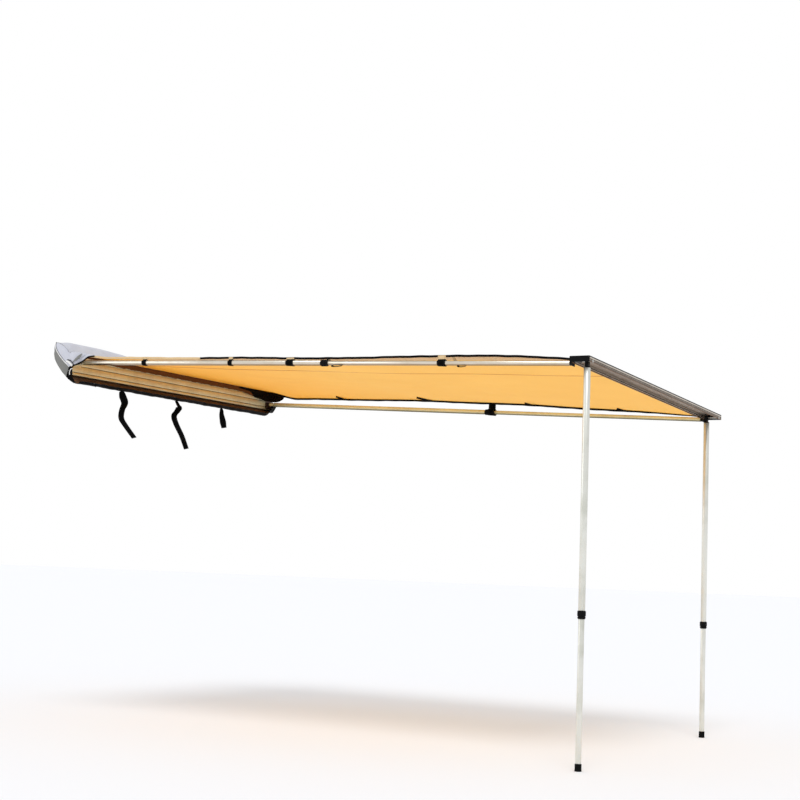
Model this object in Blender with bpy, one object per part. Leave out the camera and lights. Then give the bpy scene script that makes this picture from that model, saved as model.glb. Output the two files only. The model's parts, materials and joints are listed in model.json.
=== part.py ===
"""Vehicle side awning, pulled out and standing on its two legs.

Everything is in metres, with +Z up, +X away from the vehicle and +Y along it. The origin is the
underside of the middle mounting bracket's foot, where the awning is bolted to a roof rack. The
model is built in rail coordinates (x from the rail's back face, z from its mid height) under one
empty, which carries the offset to the origin.
"""
import math

import bmesh
import bpy
from mathutils import Matrix, Vector

# General clearances
GAP = 0.0003                 # between pieces that touch
ROUND = 28                   # sides of a turned tube
SMALL_ROUND = 16             # sides of a pin, bore or small ring

# Base rail, an aluminium extrusion along the vehicle
RAIL_LENGTH = 2.0
RAIL_DEPTH = 0.022
RAIL_HEIGHT = 0.125
RAIL_WALL = 0.003
RAIL_BEAD_DEPTH = 0.0025     # bead along the front lower edge
RAIL_BEAD_HEIGHT = 0.006
RAIL_GROOVE_HEIGHTS = (0.022, -0.002, -0.034)
FACE_GROOVE_WIDTH = 0.0025
FACE_GROOVE_DEPTH = 0.0012
SLOT_MOUTH = 0.009           # T-slot in the rail's back for the bracket bolts
SLOT_WIDTH = 0.015
SLOT_DEPTH = 0.009
SLOT_LIP = 0.0025
END_CAP = 0.004

# Keder grooves, which hold the canopy's beaded ends
KEDER_GROOVE_RADIUS = 0.0026
KEDER_RADIUS = 0.0023
KEDER_MOUTH = 0.0020
KEDER_TAIL = 0.0012
RAIL_KEDER_DROP = 0.006      # groove centre below the rail's top
RAIL_KEDER_INSET = 0.0060    # groove centre behind the rail's front face
BEAM_KEDER_DROP = 0.009      # groove centre below the beam's top
BEAM_KEDER_INSET = 0.0045

# Mounting brackets and their bolts
BRACKET_INSET = 0.200        # outer brackets from the rail's ends
BRACKET_PLATE = 0.005
BRACKET_WIDTH = 0.060
BRACKET_LEG = 0.085
BRACKET_FOOT = 0.085
BRACKET_BOTTOM = -0.055      # underside of the foot below the rail's mid height
BRACKET_HOLE = 0.0045
FOOT_HOLE_INSET = 0.018      # from the foot's free edge to its hole
BOLT_RADIUS = 0.004
BOLT_HEAD_RADIUS = 0.0070
BOLT_HEAD = 0.0053
NUT_RADIUS = 0.0085
NUT_HEIGHT = 0.008
BOLT_TAIL = 0.003

# Cover bag, zipped open
BAG_SHEET = 0.0012
BAG_BACK_TOP = 0.0585
BAG_END_MARGIN = 0.004       # the bag is longer than the rail by this at each end
SKIRT_REACH = 0.084
SKIRT_DROP = 0.048           # lowest point of the skirt below the bag's bottom edge
SKIRT_EDGE_DROP = 0.035      # zipped edge of the skirt below the bag's bottom edge
SKIRT_TAPER = 0.140          # length at the far end in which the skirt closes up
FLAP_RIDGE_NEAR = 0.132
FLAP_RIDGE_FAR = 0.092
FLAP_FALL = (-0.70, 0.10)    # the flap's ridge sinks between these places along the rail
FLAP_END_DIP = 0.011         # the ridge is lower by this at the near end panel
FLAP_END_REACH = 0.100
ZIP_WIDTH = 0.010
ZIP_THICKNESS = 0.003
SLIDER_LENGTH = 0.018
SLIDER_WALL = 0.0018
SLIDER_INSET = 0.10          # slider from the rail's near end
STRAP_WIDTH = 0.028
STRAP_THICKNESS = 0.002
STRAP_SEAM = 6               # point of the skirt's section that the straps are sewn to
STRAP_PLACES = {"near": -0.593, "middle": -0.071, "far": 0.405}

# Arms: pivot to tip, the near one above the far one so that they fold past each other
ARM_LENGTH = 2.95
ARM_INSET = 0.035            # hinge pins from the rail's ends
PIVOT_REACH = 0.045          # pivot in front of the rail's back face
ARM_PIVOT_HEIGHT = {"near": 0.008, "far": -0.030}
ARM_RADIUS = 0.014
ARM_INNER_RADIUS = 0.012
ARM_WALL = 0.0012
ARM_OUTER_END = 1.588
ARM_COLLAR_START = 1.574
ARM_COLLAR_LENGTH = 0.042
ARM_COLLAR_RADIUS = 0.0175
ARM_OVERLAP = 0.140          # inner tube still inside the outer one
ARM_TIP = 0.024              # domed plug beyond the inner tube

# Hinge ears on the rail
EYE_RADIUS = 0.013
EYE_HALF = 0.008
EAR = 0.004
PIN_RADIUS = 0.004
PIN_CLEARANCE = 0.0003
PIN_HEAD_RADIUS = 0.007
PIN_HEAD = 0.003
EAR_BASE = 0.004
EAR_BASE_WIDTH = 0.060
EAR_BASE_HALF = 0.026
TUBE_START = 0.030           # tube's mouth from the pivot
FLANGE = 0.004
PLUG = 0.045

# Front beam, a channel that is open below, set with its far end lower so that rain runs off
BEAM_PAST_ARM = 0.035        # the beam reaches this far past each arm's tip
BEAM_WIDTH = 0.100
BEAM_HEIGHT = 0.028
BEAM_WALL = 0.0025
BEAM_TILT = math.radians(2.47)
BEAM_TOP = -0.093            # top at mid length, from the rail's mid height
BEAM_STANDOFF = 0.0003       # beam's inner face beyond the arms' tips
BEAM_GROOVE_HEIGHTS = (-0.0065, -0.0135, -0.0205)
ARM_TIP_DROP = 0.029         # arm axis below the beam's top
LIP_DROP = 0.014
LIP_PLATE = 0.004
LIP_WIDTH = 0.020
LIP_LENGTH = 0.060
CAP_PLATE = 0.004
CAP_PLUG_LENGTH = 0.020
CAP_PLUG_HEIGHT = 0.007

# Legs: hinged in the beam's channel, side by side when folded
LEG_INSET = 0.045            # leg pins from the beam's ends
LEG_LANE = 0.0225
LEG_PIVOT_DROP = 0.0205      # pivot below the beam's top
GROUND = -1.949              # soles, from the rail's mid height
LEG_RADIUS = 0.016
LEG_INNER_RADIUS = 0.014
LEG_WALL = 0.0012
LEG_OUTER_END = 1.164
LEG_COLLAR_START = 1.153
LEG_COLLAR_LENGTH = 0.038
LEG_COLLAR_RADIUS = 0.020
LEG_INNER_LENGTH = 0.95
FOOT_RADIUS = 0.0165
FOOT_HEIGHT = 0.034
FOOT_SOLE = 0.008

# Canopy
CANOPY_SHEET = 0.0012
CANOPY_ROWS = 36
CANOPY_COLUMNS = 14
CANOPY_SAG = 0.012
EDGE_DROP = {"near": 0.0205, "far": 0.0435}
EDGE_DROP_START = 0.08       # share of the canopy's length in which the edge drops from the rail
EDGE_LIFT = {"near": 0.014, "far": 0.022}
EDGE_LIFT_START = {"near": 0.62, "far": 0.0}
HEM_HEIGHT = 0.012
HEM_THICKNESS = 0.003
TIE_WIDTH = 0.026
TIE_BAND = 0.0015
TIE_SLACK = 0.0010
NEAR_TIES = (0.451, 1.017, 1.388, 2.265)
FAR_TIES = (1.633,)
FAR_TABS = (0.496, 1.119, 1.807, 2.401)
TAB_LENGTH = 0.060
TAB_WIDTH = 0.014

# Derived places, in rail coordinates
HALF_RAIL = RAIL_LENGTH / 2
ARM_SIDE = HALF_RAIL - ARM_INSET
BEAM_LENGTH = 2 * (ARM_SIDE + BEAM_PAST_ARM)
LEG_SIDE = BEAM_LENGTH / 2 - LEG_INSET
BRACKET_PLACES = {"near": BRACKET_INSET - HALF_RAIL, "middle": 0.0, "far": HALF_RAIL - BRACKET_INSET}
SLIDER_PLACE = SLIDER_INSET - HALF_RAIL
HALF_HEIGHT = RAIL_HEIGHT / 2
HALF_BEAM = BEAM_WIDTH / 2
BAG_BACK = -GAP - BAG_SHEET
BRACKET_FACE = BAG_BACK - GAP
ORIGIN_X = BRACKET_FACE - BRACKET_FOOT / 2
SIDES = {"near": -1, "far": 1}


def beam_top(y):
    """Height of the tilted beam's top at a place along the vehicle."""
    return BEAM_TOP - math.tan(BEAM_TILT) * y


def arm_drop(side):
    """Height that an arm loses from its pivot to its tip."""
    return ARM_PIVOT_HEIGHT[side] - (beam_top(SIDES[side] * ARM_SIDE) - ARM_TIP_DROP)


def arm_slope(side):
    """Angle of an arm below the level."""
    return math.asin(arm_drop(side) / ARM_LENGTH)


BEAM_INNER_X = PIVOT_REACH + ARM_LENGTH * math.cos(arm_slope("far")) + BEAM_STANDOFF
BEAM_INNER_X = max(BEAM_INNER_X, PIVOT_REACH + ARM_LENGTH * math.cos(arm_slope("near")) + BEAM_STANDOFF)
BEAM_MID_X = BEAM_INNER_X + HALF_BEAM

MATERIALS = {
    "champagne_aluminium": ((0.62, 0.50, 0.36), 0.42, 1.0),
    "silver_aluminium": ((0.80, 0.80, 0.78), 0.30, 1.0),
    "grey_aluminium": ((0.34, 0.31, 0.28), 0.40, 1.0),
    "black_plastic": ((0.012, 0.012, 0.013), 0.45, 0.0),
    "black_rubber": ((0.010, 0.010, 0.010), 0.75, 0.0),
    "zinc_steel": ((0.55, 0.55, 0.53), 0.35, 1.0),
    "black_steel": ((0.02, 0.02, 0.02), 0.45, 0.6),
    "black_pvc": ((0.015, 0.014, 0.013), 0.55, 0.0),
    "grey_pvc": ((0.42, 0.42, 0.45), 0.50, 0.0),
    "black_webbing": ((0.008, 0.008, 0.008), 0.85, 0.0),
    "canvas": ((0.98, 0.55, 0.17), 0.85, 0.0),
    "black_binding": ((0.012, 0.011, 0.010), 0.80, 0.0),
    "white_cord": ((0.75, 0.73, 0.68), 0.70, 0.0),
    "nylon": ((0.03, 0.03, 0.03), 0.50, 0.0),
}


def clear_scene():
    """Remove every object of the open scene."""
    for item in list(bpy.data.objects):
        bpy.data.objects.remove(item, do_unlink=True)


def material(name):
    """Principled material from the table of finishes."""
    if name in bpy.data.materials:
        return bpy.data.materials[name]
    colour, roughness, metallic = MATERIALS[name]
    made = bpy.data.materials.new(name)
    made.use_nodes = True
    shader = made.node_tree.nodes["Principled BSDF"]
    shader.inputs["Base Color"].default_value = (*colour, 1.0)
    shader.inputs["Roughness"].default_value = roughness
    shader.inputs["Metallic"].default_value = metallic
    return made


def empty(name, parent=None, matrix=None):
    """Empty that carries a frame: a joint's axis or the rail's coordinates."""
    made = bpy.data.objects.new(name, None)
    bpy.context.scene.collection.objects.link(made)
    made.parent = parent
    if matrix is not None:
        made.matrix_local = matrix
    return made


def finish_mesh(bm, name, smooth_angle=35):
    """Close a bmesh into a mesh with outward normals and smooth round sides."""
    bmesh.ops.remove_doubles(bm, verts=bm.verts, dist=1e-7)
    bmesh.ops.recalc_face_normals(bm, faces=bm.faces)
    mesh = bpy.data.meshes.new(name)
    bm.to_mesh(mesh)
    bm.free()
    mesh.shade_smooth()
    mesh.set_sharp_from_angle(angle=math.radians(smooth_angle))
    return mesh


def piece(name, mesh, finish, parent):
    """Object for one physical piece, or for a tool shape where finish is None."""
    made = bpy.data.objects.new(name, mesh)
    bpy.context.scene.collection.objects.link(made)
    made.parent = parent
    if finish is None:
        made.hide_render = True
        made.display_type = "WIRE"
    else:
        mesh.materials.append(material(finish))
    return made


def combine(target, tool, operation):
    """Cut a tool shape from a piece, or weld it on."""
    step = target.modifiers.new(tool.name, "BOOLEAN")
    step.operation = operation
    step.solver = "EXACT"
    step.object = tool


def box_mesh(low, high, name="box"):
    """Block between two corners."""
    bm = bmesh.new()
    size = Vector(high) - Vector(low)
    middle = (Vector(high) + Vector(low)) / 2
    place = Matrix.Translation(middle) @ Matrix.Diagonal((*size, 1.0))
    bmesh.ops.create_cube(bm, size=1.0, matrix=place)
    return finish_mesh(bm, name)


def prism_mesh(outline, start, end, axis, name="prism"):
    """Outline pushed along one axis. The outline's two numbers are the other two axes in XYZ order."""
    order = {"X": (1, 2), "Y": (0, 2), "Z": (0, 1)}[axis]
    along = "XYZ".index(axis)
    bm = bmesh.new()
    ends = []
    for level in (start, end):
        ring = []
        for pair in outline:
            place = [0.0, 0.0, 0.0]
            place[order[0]], place[order[1]], place[along] = pair[0], pair[1], level
            ring.append(bm.verts.new(place))
        ends.append(ring)
    count = len(outline)
    bm.faces.new(ends[0])
    bm.faces.new(ends[1])
    for index in range(count):
        after = (index + 1) % count
        bm.faces.new((ends[0][index], ends[0][after], ends[1][after], ends[1][index]))
    return finish_mesh(bm, name)


def turned_mesh(profile, closed, sides=ROUND, axis="X", name="turned"):
    """Profile of (place along the axis, radius) pairs spun about the X or Z axis."""
    bm = bmesh.new()
    rings = []
    for along, radius in profile:
        ring = []
        for step in range(sides if radius > 0 else 1):
            angle = 2 * math.pi * step / sides
            across = (radius * math.cos(angle), radius * math.sin(angle))
            place = (along, *across) if axis == "X" else (*across, along)
            ring.append(bm.verts.new(place))
        rings.append(ring)
    pairs = list(zip(rings, rings[1:]))
    if closed:
        pairs.append((rings[-1], rings[0]))
    for ring, following in pairs:
        for step in range(sides):
            after = (step + 1) % sides
            corners = [ring[step % len(ring)], ring[after % len(ring)],
                       following[after % len(following)], following[step % len(following)]]
            unique = list(dict.fromkeys(corners))
            if len(unique) > 2:
                bm.faces.new(unique)
    return finish_mesh(bm, name)


def rod_mesh(start, end, radius, axis="X", sides=SMALL_ROUND):
    """Plain round rod."""
    return turned_mesh([(start, 0), (start, radius), (end, radius), (end, 0)], False, sides, axis)


def sheet_mesh(grid, thickness, name="sheet"):
    """Closed sheet of even thickness along a grid of points, rows by columns."""
    rows, columns = len(grid), len(grid[0])

    def normal(row, column):
        along = grid[min(row + 1, rows - 1)][column] - grid[max(row - 1, 0)][column]
        across = grid[row][min(column + 1, columns - 1)] - grid[row][max(column - 1, 0)]
        return along.cross(across).normalized()

    bm = bmesh.new()
    faces = []
    for side in (0.5, -0.5):
        faces.append([[bm.verts.new(grid[r][c] + normal(r, c) * thickness * side)
                       for c in range(columns)] for r in range(rows)])
    for layer in faces:
        for r in range(rows - 1):
            for c in range(columns - 1):
                bm.faces.new((layer[r][c], layer[r][c + 1], layer[r + 1][c + 1], layer[r + 1][c]))
    rim = [(r, 0) for r in range(rows)] + [(rows - 1, c) for c in range(1, columns)]
    rim += [(r, columns - 1) for r in range(rows - 2, -1, -1)] + [(0, c) for c in range(columns - 2, 0, -1)]
    for index, (r, c) in enumerate(rim):
        nr, nc = rim[(index + 1) % len(rim)]
        bm.faces.new((faces[0][r][c], faces[0][nr][nc], faces[1][nr][nc], faces[1][r][c]))
    return finish_mesh(bm, name, 60)


def ribbon_mesh(route, across, thickness, name="ribbon"):
    """Flat strip along a route, with its width along the given vector."""
    half = Vector(across) / 2
    grid = [[Vector(point) - half, Vector(point) + half] for point in route]
    return sheet_mesh(grid, thickness, name)


def arc(centre, radius, start, end, steps):
    """Points of an arc, with angles in degrees."""
    points = []
    for step in range(steps + 1):
        angle = math.radians(start + (end - start) * step / steps)
        points.append((centre[0] + radius * math.cos(angle), centre[1] + radius * math.sin(angle)))
    return points


def smooth_step(value):
    """Smooth rise from 0 to 1."""
    share = min(1.0, max(0.0, value))
    return share * share * (3 - 2 * share)


def grooved_face(x, heights):
    """Front face of an extrusion at x with shallow grooves, from top to bottom."""
    points = []
    for height in heights:
        top, bottom = height + FACE_GROOVE_WIDTH / 2, height - FACE_GROOVE_WIDTH / 2
        points += [(x, top), (x - FACE_GROOVE_DEPTH, top), (x - FACE_GROOVE_DEPTH, bottom), (x, bottom)]
    return points


def keder_groove(face_x, centre_x, centre_z, facing):
    """Outline of a keder groove whose mouth faces +X (facing 1) or -X (facing -1), top to bottom."""
    half = KEDER_MOUTH / 2
    opening = math.degrees(math.asin(half / KEDER_GROOVE_RADIUS))
    if facing > 0:
        ring = arc((centre_x, centre_z), KEDER_GROOVE_RADIUS, opening, 360 - opening, 12)
    else:
        ring = arc((centre_x, centre_z), KEDER_GROOVE_RADIUS, 180 - opening, opening - 180, 12)
    return [(face_x, centre_z + half), *ring, (face_x, centre_z - half)]


def keder_outline(centre_x, centre_z, tail_x, facing):
    """Bead and tail of a canopy end, seen along the rail."""
    half = KEDER_TAIL / 2
    opening = math.degrees(math.asin(half / KEDER_RADIUS))
    if facing > 0:
        ring = arc((centre_x, centre_z), KEDER_RADIUS, opening, 360 - opening, 12)
    else:
        ring = arc((centre_x, centre_z), KEDER_RADIUS, 180 - opening, opening - 180, 12)
    return [(tail_x, centre_z + half), *ring, (tail_x, centre_z - half)]


RAIL_KEDER = (RAIL_DEPTH - RAIL_KEDER_INSET, HALF_HEIGHT - RAIL_KEDER_DROP)
BEAM_KEDER = (-HALF_BEAM + BEAM_KEDER_INSET, -BEAM_KEDER_DROP)


def rail_outline():
    """Section of the base rail: T-slot behind, keder groove and face grooves in front."""
    back = [(0, -HALF_HEIGHT), (0, -SLOT_MOUTH / 2), (SLOT_LIP, -SLOT_MOUTH / 2), (SLOT_LIP, -SLOT_WIDTH / 2),
            (SLOT_DEPTH, -SLOT_WIDTH / 2), (SLOT_DEPTH, SLOT_WIDTH / 2), (SLOT_LIP, SLOT_WIDTH / 2),
            (SLOT_LIP, SLOT_MOUTH / 2), (0, SLOT_MOUTH / 2), (0, HALF_HEIGHT)]
    top = [(RAIL_DEPTH, HALF_HEIGHT)]
    bead_x = RAIL_DEPTH + RAIL_BEAD_DEPTH
    bead_z = RAIL_BEAD_HEIGHT - HALF_HEIGHT
    bead = [(RAIL_DEPTH, bead_z), (bead_x, bead_z), (bead_x, -HALF_HEIGHT)]
    return (back + top + keder_groove(RAIL_DEPTH, *RAIL_KEDER, 1)
            + grooved_face(RAIL_DEPTH, RAIL_GROOVE_HEIGHTS) + bead)


def build_rail(root):
    """Base rail with its hollow chambers and its two end caps."""
    rail = piece("base_rail", prism_mesh(rail_outline(), -HALF_RAIL, HALF_RAIL, "Y"),
                 "champagne_aluminium", root)
    front = RAIL_DEPTH - RAIL_WALL
    slot_top = SLOT_WIDTH / 2 + SLOT_LIP
    keder_bottom = RAIL_KEDER[1] - KEDER_GROOVE_RADIUS - RAIL_WALL
    chambers = {
        "upper": ((RAIL_WALL, slot_top), (front, keder_bottom)),
        "lower": ((RAIL_WALL, RAIL_WALL - HALF_HEIGHT), (front, -slot_top)),
        "middle": ((SLOT_DEPTH + RAIL_WALL, SLOT_LIP - slot_top), (front, slot_top - SLOT_LIP)),
    }
    for name, ((x0, z0), (x1, z1)) in chambers.items():
        low, high = (x0, -HALF_RAIL - 0.01, z0), (x1, HALF_RAIL + 0.01, z1)
        combine(rail, piece(f"chamber_{name}", box_mesh(low, high), None, root), "DIFFERENCE")
    for side, sign in SIDES.items():
        faces = sorted((sign * (HALF_RAIL + GAP), sign * (HALF_RAIL + END_CAP)))
        low, high = (0, faces[0], -HALF_HEIGHT), (RAIL_DEPTH, faces[1], HALF_HEIGHT)
        piece(f"rail_end_cap_{side}", box_mesh(low, high), "black_plastic", root)


def build_mounting(root):
    """Three steel angle brackets, each held to the rail's T-slot by a bolt and a flange nut."""
    back = BRACKET_FACE - BRACKET_PLATE
    free_edge = BRACKET_FACE - BRACKET_FOOT
    bottom, top = BRACKET_BOTTOM, BRACKET_BOTTOM + BRACKET_LEG
    section = [(BRACKET_FACE, bottom), (BRACKET_FACE, top), (back, top), (back, bottom + BRACKET_PLATE),
               (free_edge, bottom + BRACKET_PLATE), (free_edge, bottom)]
    for name, place in BRACKET_PLACES.items():
        half = BRACKET_WIDTH / 2
        plate = piece(f"mounting_bracket_{name}", prism_mesh(section, place - half, place + half, "Y"),
                      "black_steel", root)
        bolt_hole = piece(f"bolt_hole_{name}", rod_mesh(back - 0.01, BRACKET_FACE + 0.01, BRACKET_HOLE), None, root)
        bolt_hole.location = (0, place, 0)
        combine(plate, bolt_hole, "DIFFERENCE")
        foot_hole = piece(f"foot_hole_{name}", rod_mesh(bottom - 0.01, bottom + BRACKET_PLATE + 0.01,
                                                        BRACKET_HOLE, "Z"), None, root)
        foot_hole.location = (free_edge + FOOT_HOLE_INSET, place, 0)
        combine(plate, foot_hole, "DIFFERENCE")
        head_back = SLOT_LIP + GAP
        nut_front = back - GAP
        bolt = [(back - NUT_HEIGHT - BOLT_TAIL, 0), (back - NUT_HEIGHT - BOLT_TAIL, BOLT_RADIUS),
                (head_back, BOLT_RADIUS), (head_back, BOLT_HEAD_RADIUS),
                (head_back + BOLT_HEAD, BOLT_HEAD_RADIUS), (head_back + BOLT_HEAD, 0)]
        screw = piece(f"bracket_bolt_{name}", turned_mesh(bolt, False, SMALL_ROUND), "zinc_steel", root)
        screw.location = (0, place, 0)
        bore = BOLT_RADIUS + GAP
        flange = NUT_RADIUS * 1.15
        nut = [(nut_front, bore), (nut_front, flange), (nut_front - 0.002, flange),
               (nut_front - 0.002, NUT_RADIUS * 0.85), (nut_front - NUT_HEIGHT, NUT_RADIUS * 0.85),
               (nut_front - NUT_HEIGHT, bore)]
        holder = piece(f"bracket_nut_{name}", turned_mesh(nut, True, SMALL_ROUND), "zinc_steel", root)
        holder.location = (0, place, 0)


BAG_UNDER = -HALF_HEIGHT - GAP - BAG_SHEET


def skirt_route(y):
    """Section of the bag's back and bottom panel, from the rail's top round under it to the zip."""
    back = BAG_BACK + BAG_SHEET / 2
    behind = [(back, BAG_BACK_TOP), (back, 0.02), (back, -0.03), (back, BAG_UNDER)]
    hanging = [(0.014, 0.010), (0.028, 0.030), (0.044, 0.044), (0.060, SKIRT_DROP), (0.074, 0.044),
               (SKIRT_REACH, SKIRT_EDGE_DROP)]
    closed = [(0.008, 0.006), (0.016, 0.014), (0.028, 0.017), (0.040, 0.010), (0.052, -0.006), (0.061, -0.024)]
    share = smooth_step((y - HALF_RAIL + SKIRT_TAPER) / SKIRT_TAPER)
    front = [(a[0] + (b[0] - a[0]) * share, BAG_UNDER - a[1] - (b[1] - a[1]) * share)
             for a, b in zip(hanging, closed)]
    return behind + front


def flap_route(y):
    """Section of the bag's cover, thrown up and back over the rail towards the vehicle."""
    fall = smooth_step((y - FLAP_FALL[0]) / (FLAP_FALL[1] - FLAP_FALL[0]))
    dip = 1 - smooth_step((y + HALF_RAIL + BAG_END_MARGIN) / FLAP_END_REACH)
    ridge = FLAP_RIDGE_NEAR + (FLAP_RIDGE_FAR - FLAP_RIDGE_NEAR) * fall - FLAP_END_DIP * dip
    start = BAG_BACK_TOP + GAP + BAG_SHEET / 2
    lift = ridge - start
    shape = [(-0.001, 0.0), (-0.012, 0.22), (-0.030, 0.50), (-0.055, 0.80), (-0.080, 0.97), (-0.096, 1.0),
             (-0.106, 0.93), (-0.111, 0.75), (-0.1125, 0.40), (-0.110, 0.05), (-0.106, -0.40)]
    return [(x, start + lift * z) for x, z in shape]


def build_bag(root):
    """Soft cover: back panel with skirt, thrown-back flap, end panels, zip and slider."""
    reach = HALF_RAIL + BAG_END_MARGIN
    taper = HALF_RAIL - SKIRT_TAPER
    places = [-reach] + [taper + (reach - taper) * step / 6 for step in range(7)]
    sections = [skirt_route(y) for y in places]
    grid = [[Vector((section[row][0], y, section[row][1])) for y, section in zip(places, sections)]
            for row in range(len(sections[0]))]
    back = piece("bag_back", sheet_mesh(grid, BAG_SHEET), "black_pvc", root)
    for name, place in BRACKET_PLACES.items():
        hole = piece(f"bag_hole_{name}", rod_mesh(-0.01, 0.01, BRACKET_HOLE), None, root)
        hole.location = (0, place, 0)
        combine(back, hole, "DIFFERENCE")
    places = [-reach + FLAP_END_REACH * step / 4 for step in range(4)]
    places += [-reach + FLAP_END_REACH + (2 * reach - FLAP_END_REACH) * step / 13 for step in range(14)]
    sections = [flap_route(y) for y in places]
    grid = [[Vector((section[row][0], y, section[row][1])) for y, section in zip(places, sections)]
            for row in range(len(sections[0]))]
    piece("bag_flap", sheet_mesh(grid, BAG_SHEET), "grey_pvc", root)

    crescent = [(-0.104, FLAP_RIDGE_NEAR - FLAP_END_DIP), (-0.1125, 0.0586), (-0.106, 0.030), (-0.090, 0.004),
                (-0.072, -0.0186), (-0.047, -0.047), (-0.0145, -0.075), (-0.0127, -0.068), (-0.006, -0.045),
                (0.002, -0.0186), (-0.037, 0.013), (-0.070, 0.045), (-0.1027, 0.087)]
    outer = reach + GAP + BAG_SHEET
    piece("bag_end_near", prism_mesh(crescent, -outer, -reach - GAP, "Y"), "grey_pvc", root)
    bow = [(-0.002, -0.066), (-0.002, BAG_BACK_TOP - 0.004), (0.012, 0.052), (0.050, 0.056), (0.095, 0.044),
           (0.139, 0.024), (0.120, 0.022), (0.085, 0.026), (0.045, 0.0275), (0.024, 0.026), (0.023, -0.005),
           (0.040, -0.020), (0.060, -0.028), (0.062, -0.040), (0.050, -0.060), (0.036, -0.078), (0.020, -0.080)]
    piece("bag_end_far", prism_mesh(bow, reach + GAP, outer, "Y"), "black_pvc", root)

    zip_x = SKIRT_REACH + GAP + 0.0006
    zip_z = BAG_UNDER - SKIRT_EDGE_DROP
    half = ZIP_THICKNESS / 2
    strip = [(zip_x, zip_z - half), (zip_x + ZIP_WIDTH, zip_z - half),
             (zip_x + ZIP_WIDTH, zip_z + half), (zip_x, zip_z + half)]
    piece("bag_zip", prism_mesh(strip, -HALF_RAIL, taper, "Y"), "black_pvc", root)
    space = half + GAP
    outside = space + SLIDER_WALL
    inner_x, outer_x = zip_x + 0.004, zip_x + ZIP_WIDTH + GAP
    jaw = [(inner_x, zip_z + space), (outer_x, zip_z + space), (outer_x, zip_z - space), (inner_x, zip_z - space),
           (inner_x, zip_z - outside), (outer_x + SLIDER_WALL, zip_z - outside),
           (outer_x + SLIDER_WALL, zip_z + outside), (inner_x, zip_z + outside)]
    slider = piece("zip_slider", prism_mesh(jaw, 0, SLIDER_LENGTH, "Y"), "zinc_steel", root)
    slider.location = (0, SLIDER_PLACE, 0)


def build_straps(root):
    """Three hook-and-loop straps that close the bag, hanging open under it."""
    seam_x, seam_z = skirt_route(0.0)[STRAP_SEAM]
    bends = {
        "near": [(0, 0, 0), (0.003, 0.012, -0.030), (0.003, 0.033, -0.066), (0.006, 0.009, -0.109),
                 (0.004, 0.008, -0.155), (0.002, 0.048, -0.192), (0.000, 0.141, -0.259)],
        "middle": [(0, 0, 0), (0.003, 0.022, -0.025), (0.003, 0.033, -0.040), (0.004, 0.015, -0.063),
                   (0.006, -0.018, -0.096), (0.003, 0.011, -0.142), (0.000, 0.077, -0.209),
                   (-0.003, 0.134, -0.283)],
        "far": [(0, 0, 0), (0.003, 0.001, -0.020), (0.003, 0.003, -0.042), (0.004, 0.017, -0.079),
                (0.002, 0.037, -0.121)],
    }
    for name, place in STRAP_PLACES.items():
        top = seam_z - BAG_SHEET / 2 - 2 * GAP
        route = [(seam_x + x, place + y, top + z) for x, y, z in bends[name]]
        across = (0.0, STRAP_WIDTH, 0.0)
        piece(f"cover_strap_{name}", ribbon_mesh(route, across, STRAP_THICKNESS), "black_webbing", root)


def end_fitting_mesh(name, bore_radius, tube_radius, finish, holder):
    """Moulded end of a pole: an eye across the pole, a flange and a plug in the tube."""
    reach = TUBE_START - GAP
    plug_radius = bore_radius - GAP
    body = [(reach - FLANGE, 0), (reach - FLANGE, tube_radius), (reach, tube_radius), (reach, plug_radius),
            (reach + PLUG, plug_radius), (reach + PLUG, 0)]
    fitting = piece(name, turned_mesh(body, False), finish, holder)
    eye = piece(f"{name}_eye", rod_mesh(-EYE_HALF, EYE_HALF, EYE_RADIUS, "Z", 20), None, holder)
    low, high = (0, -EYE_RADIUS + 0.001, -EYE_HALF + 0.0005), (reach - FLANGE / 2, EYE_RADIUS - 0.001, EYE_HALF - 0.0005)
    neck = piece(f"{name}_neck", box_mesh(low, high), None, holder)
    hole = piece(f"{name}_hole", rod_mesh(-EYE_HALF - 0.01, EYE_HALF + 0.01, PIN_RADIUS + PIN_CLEARANCE, "Z"),
                 None, holder)
    combine(fitting, neck, "UNION")
    combine(fitting, eye, "UNION")
    combine(fitting, hole, "DIFFERENCE")


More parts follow.
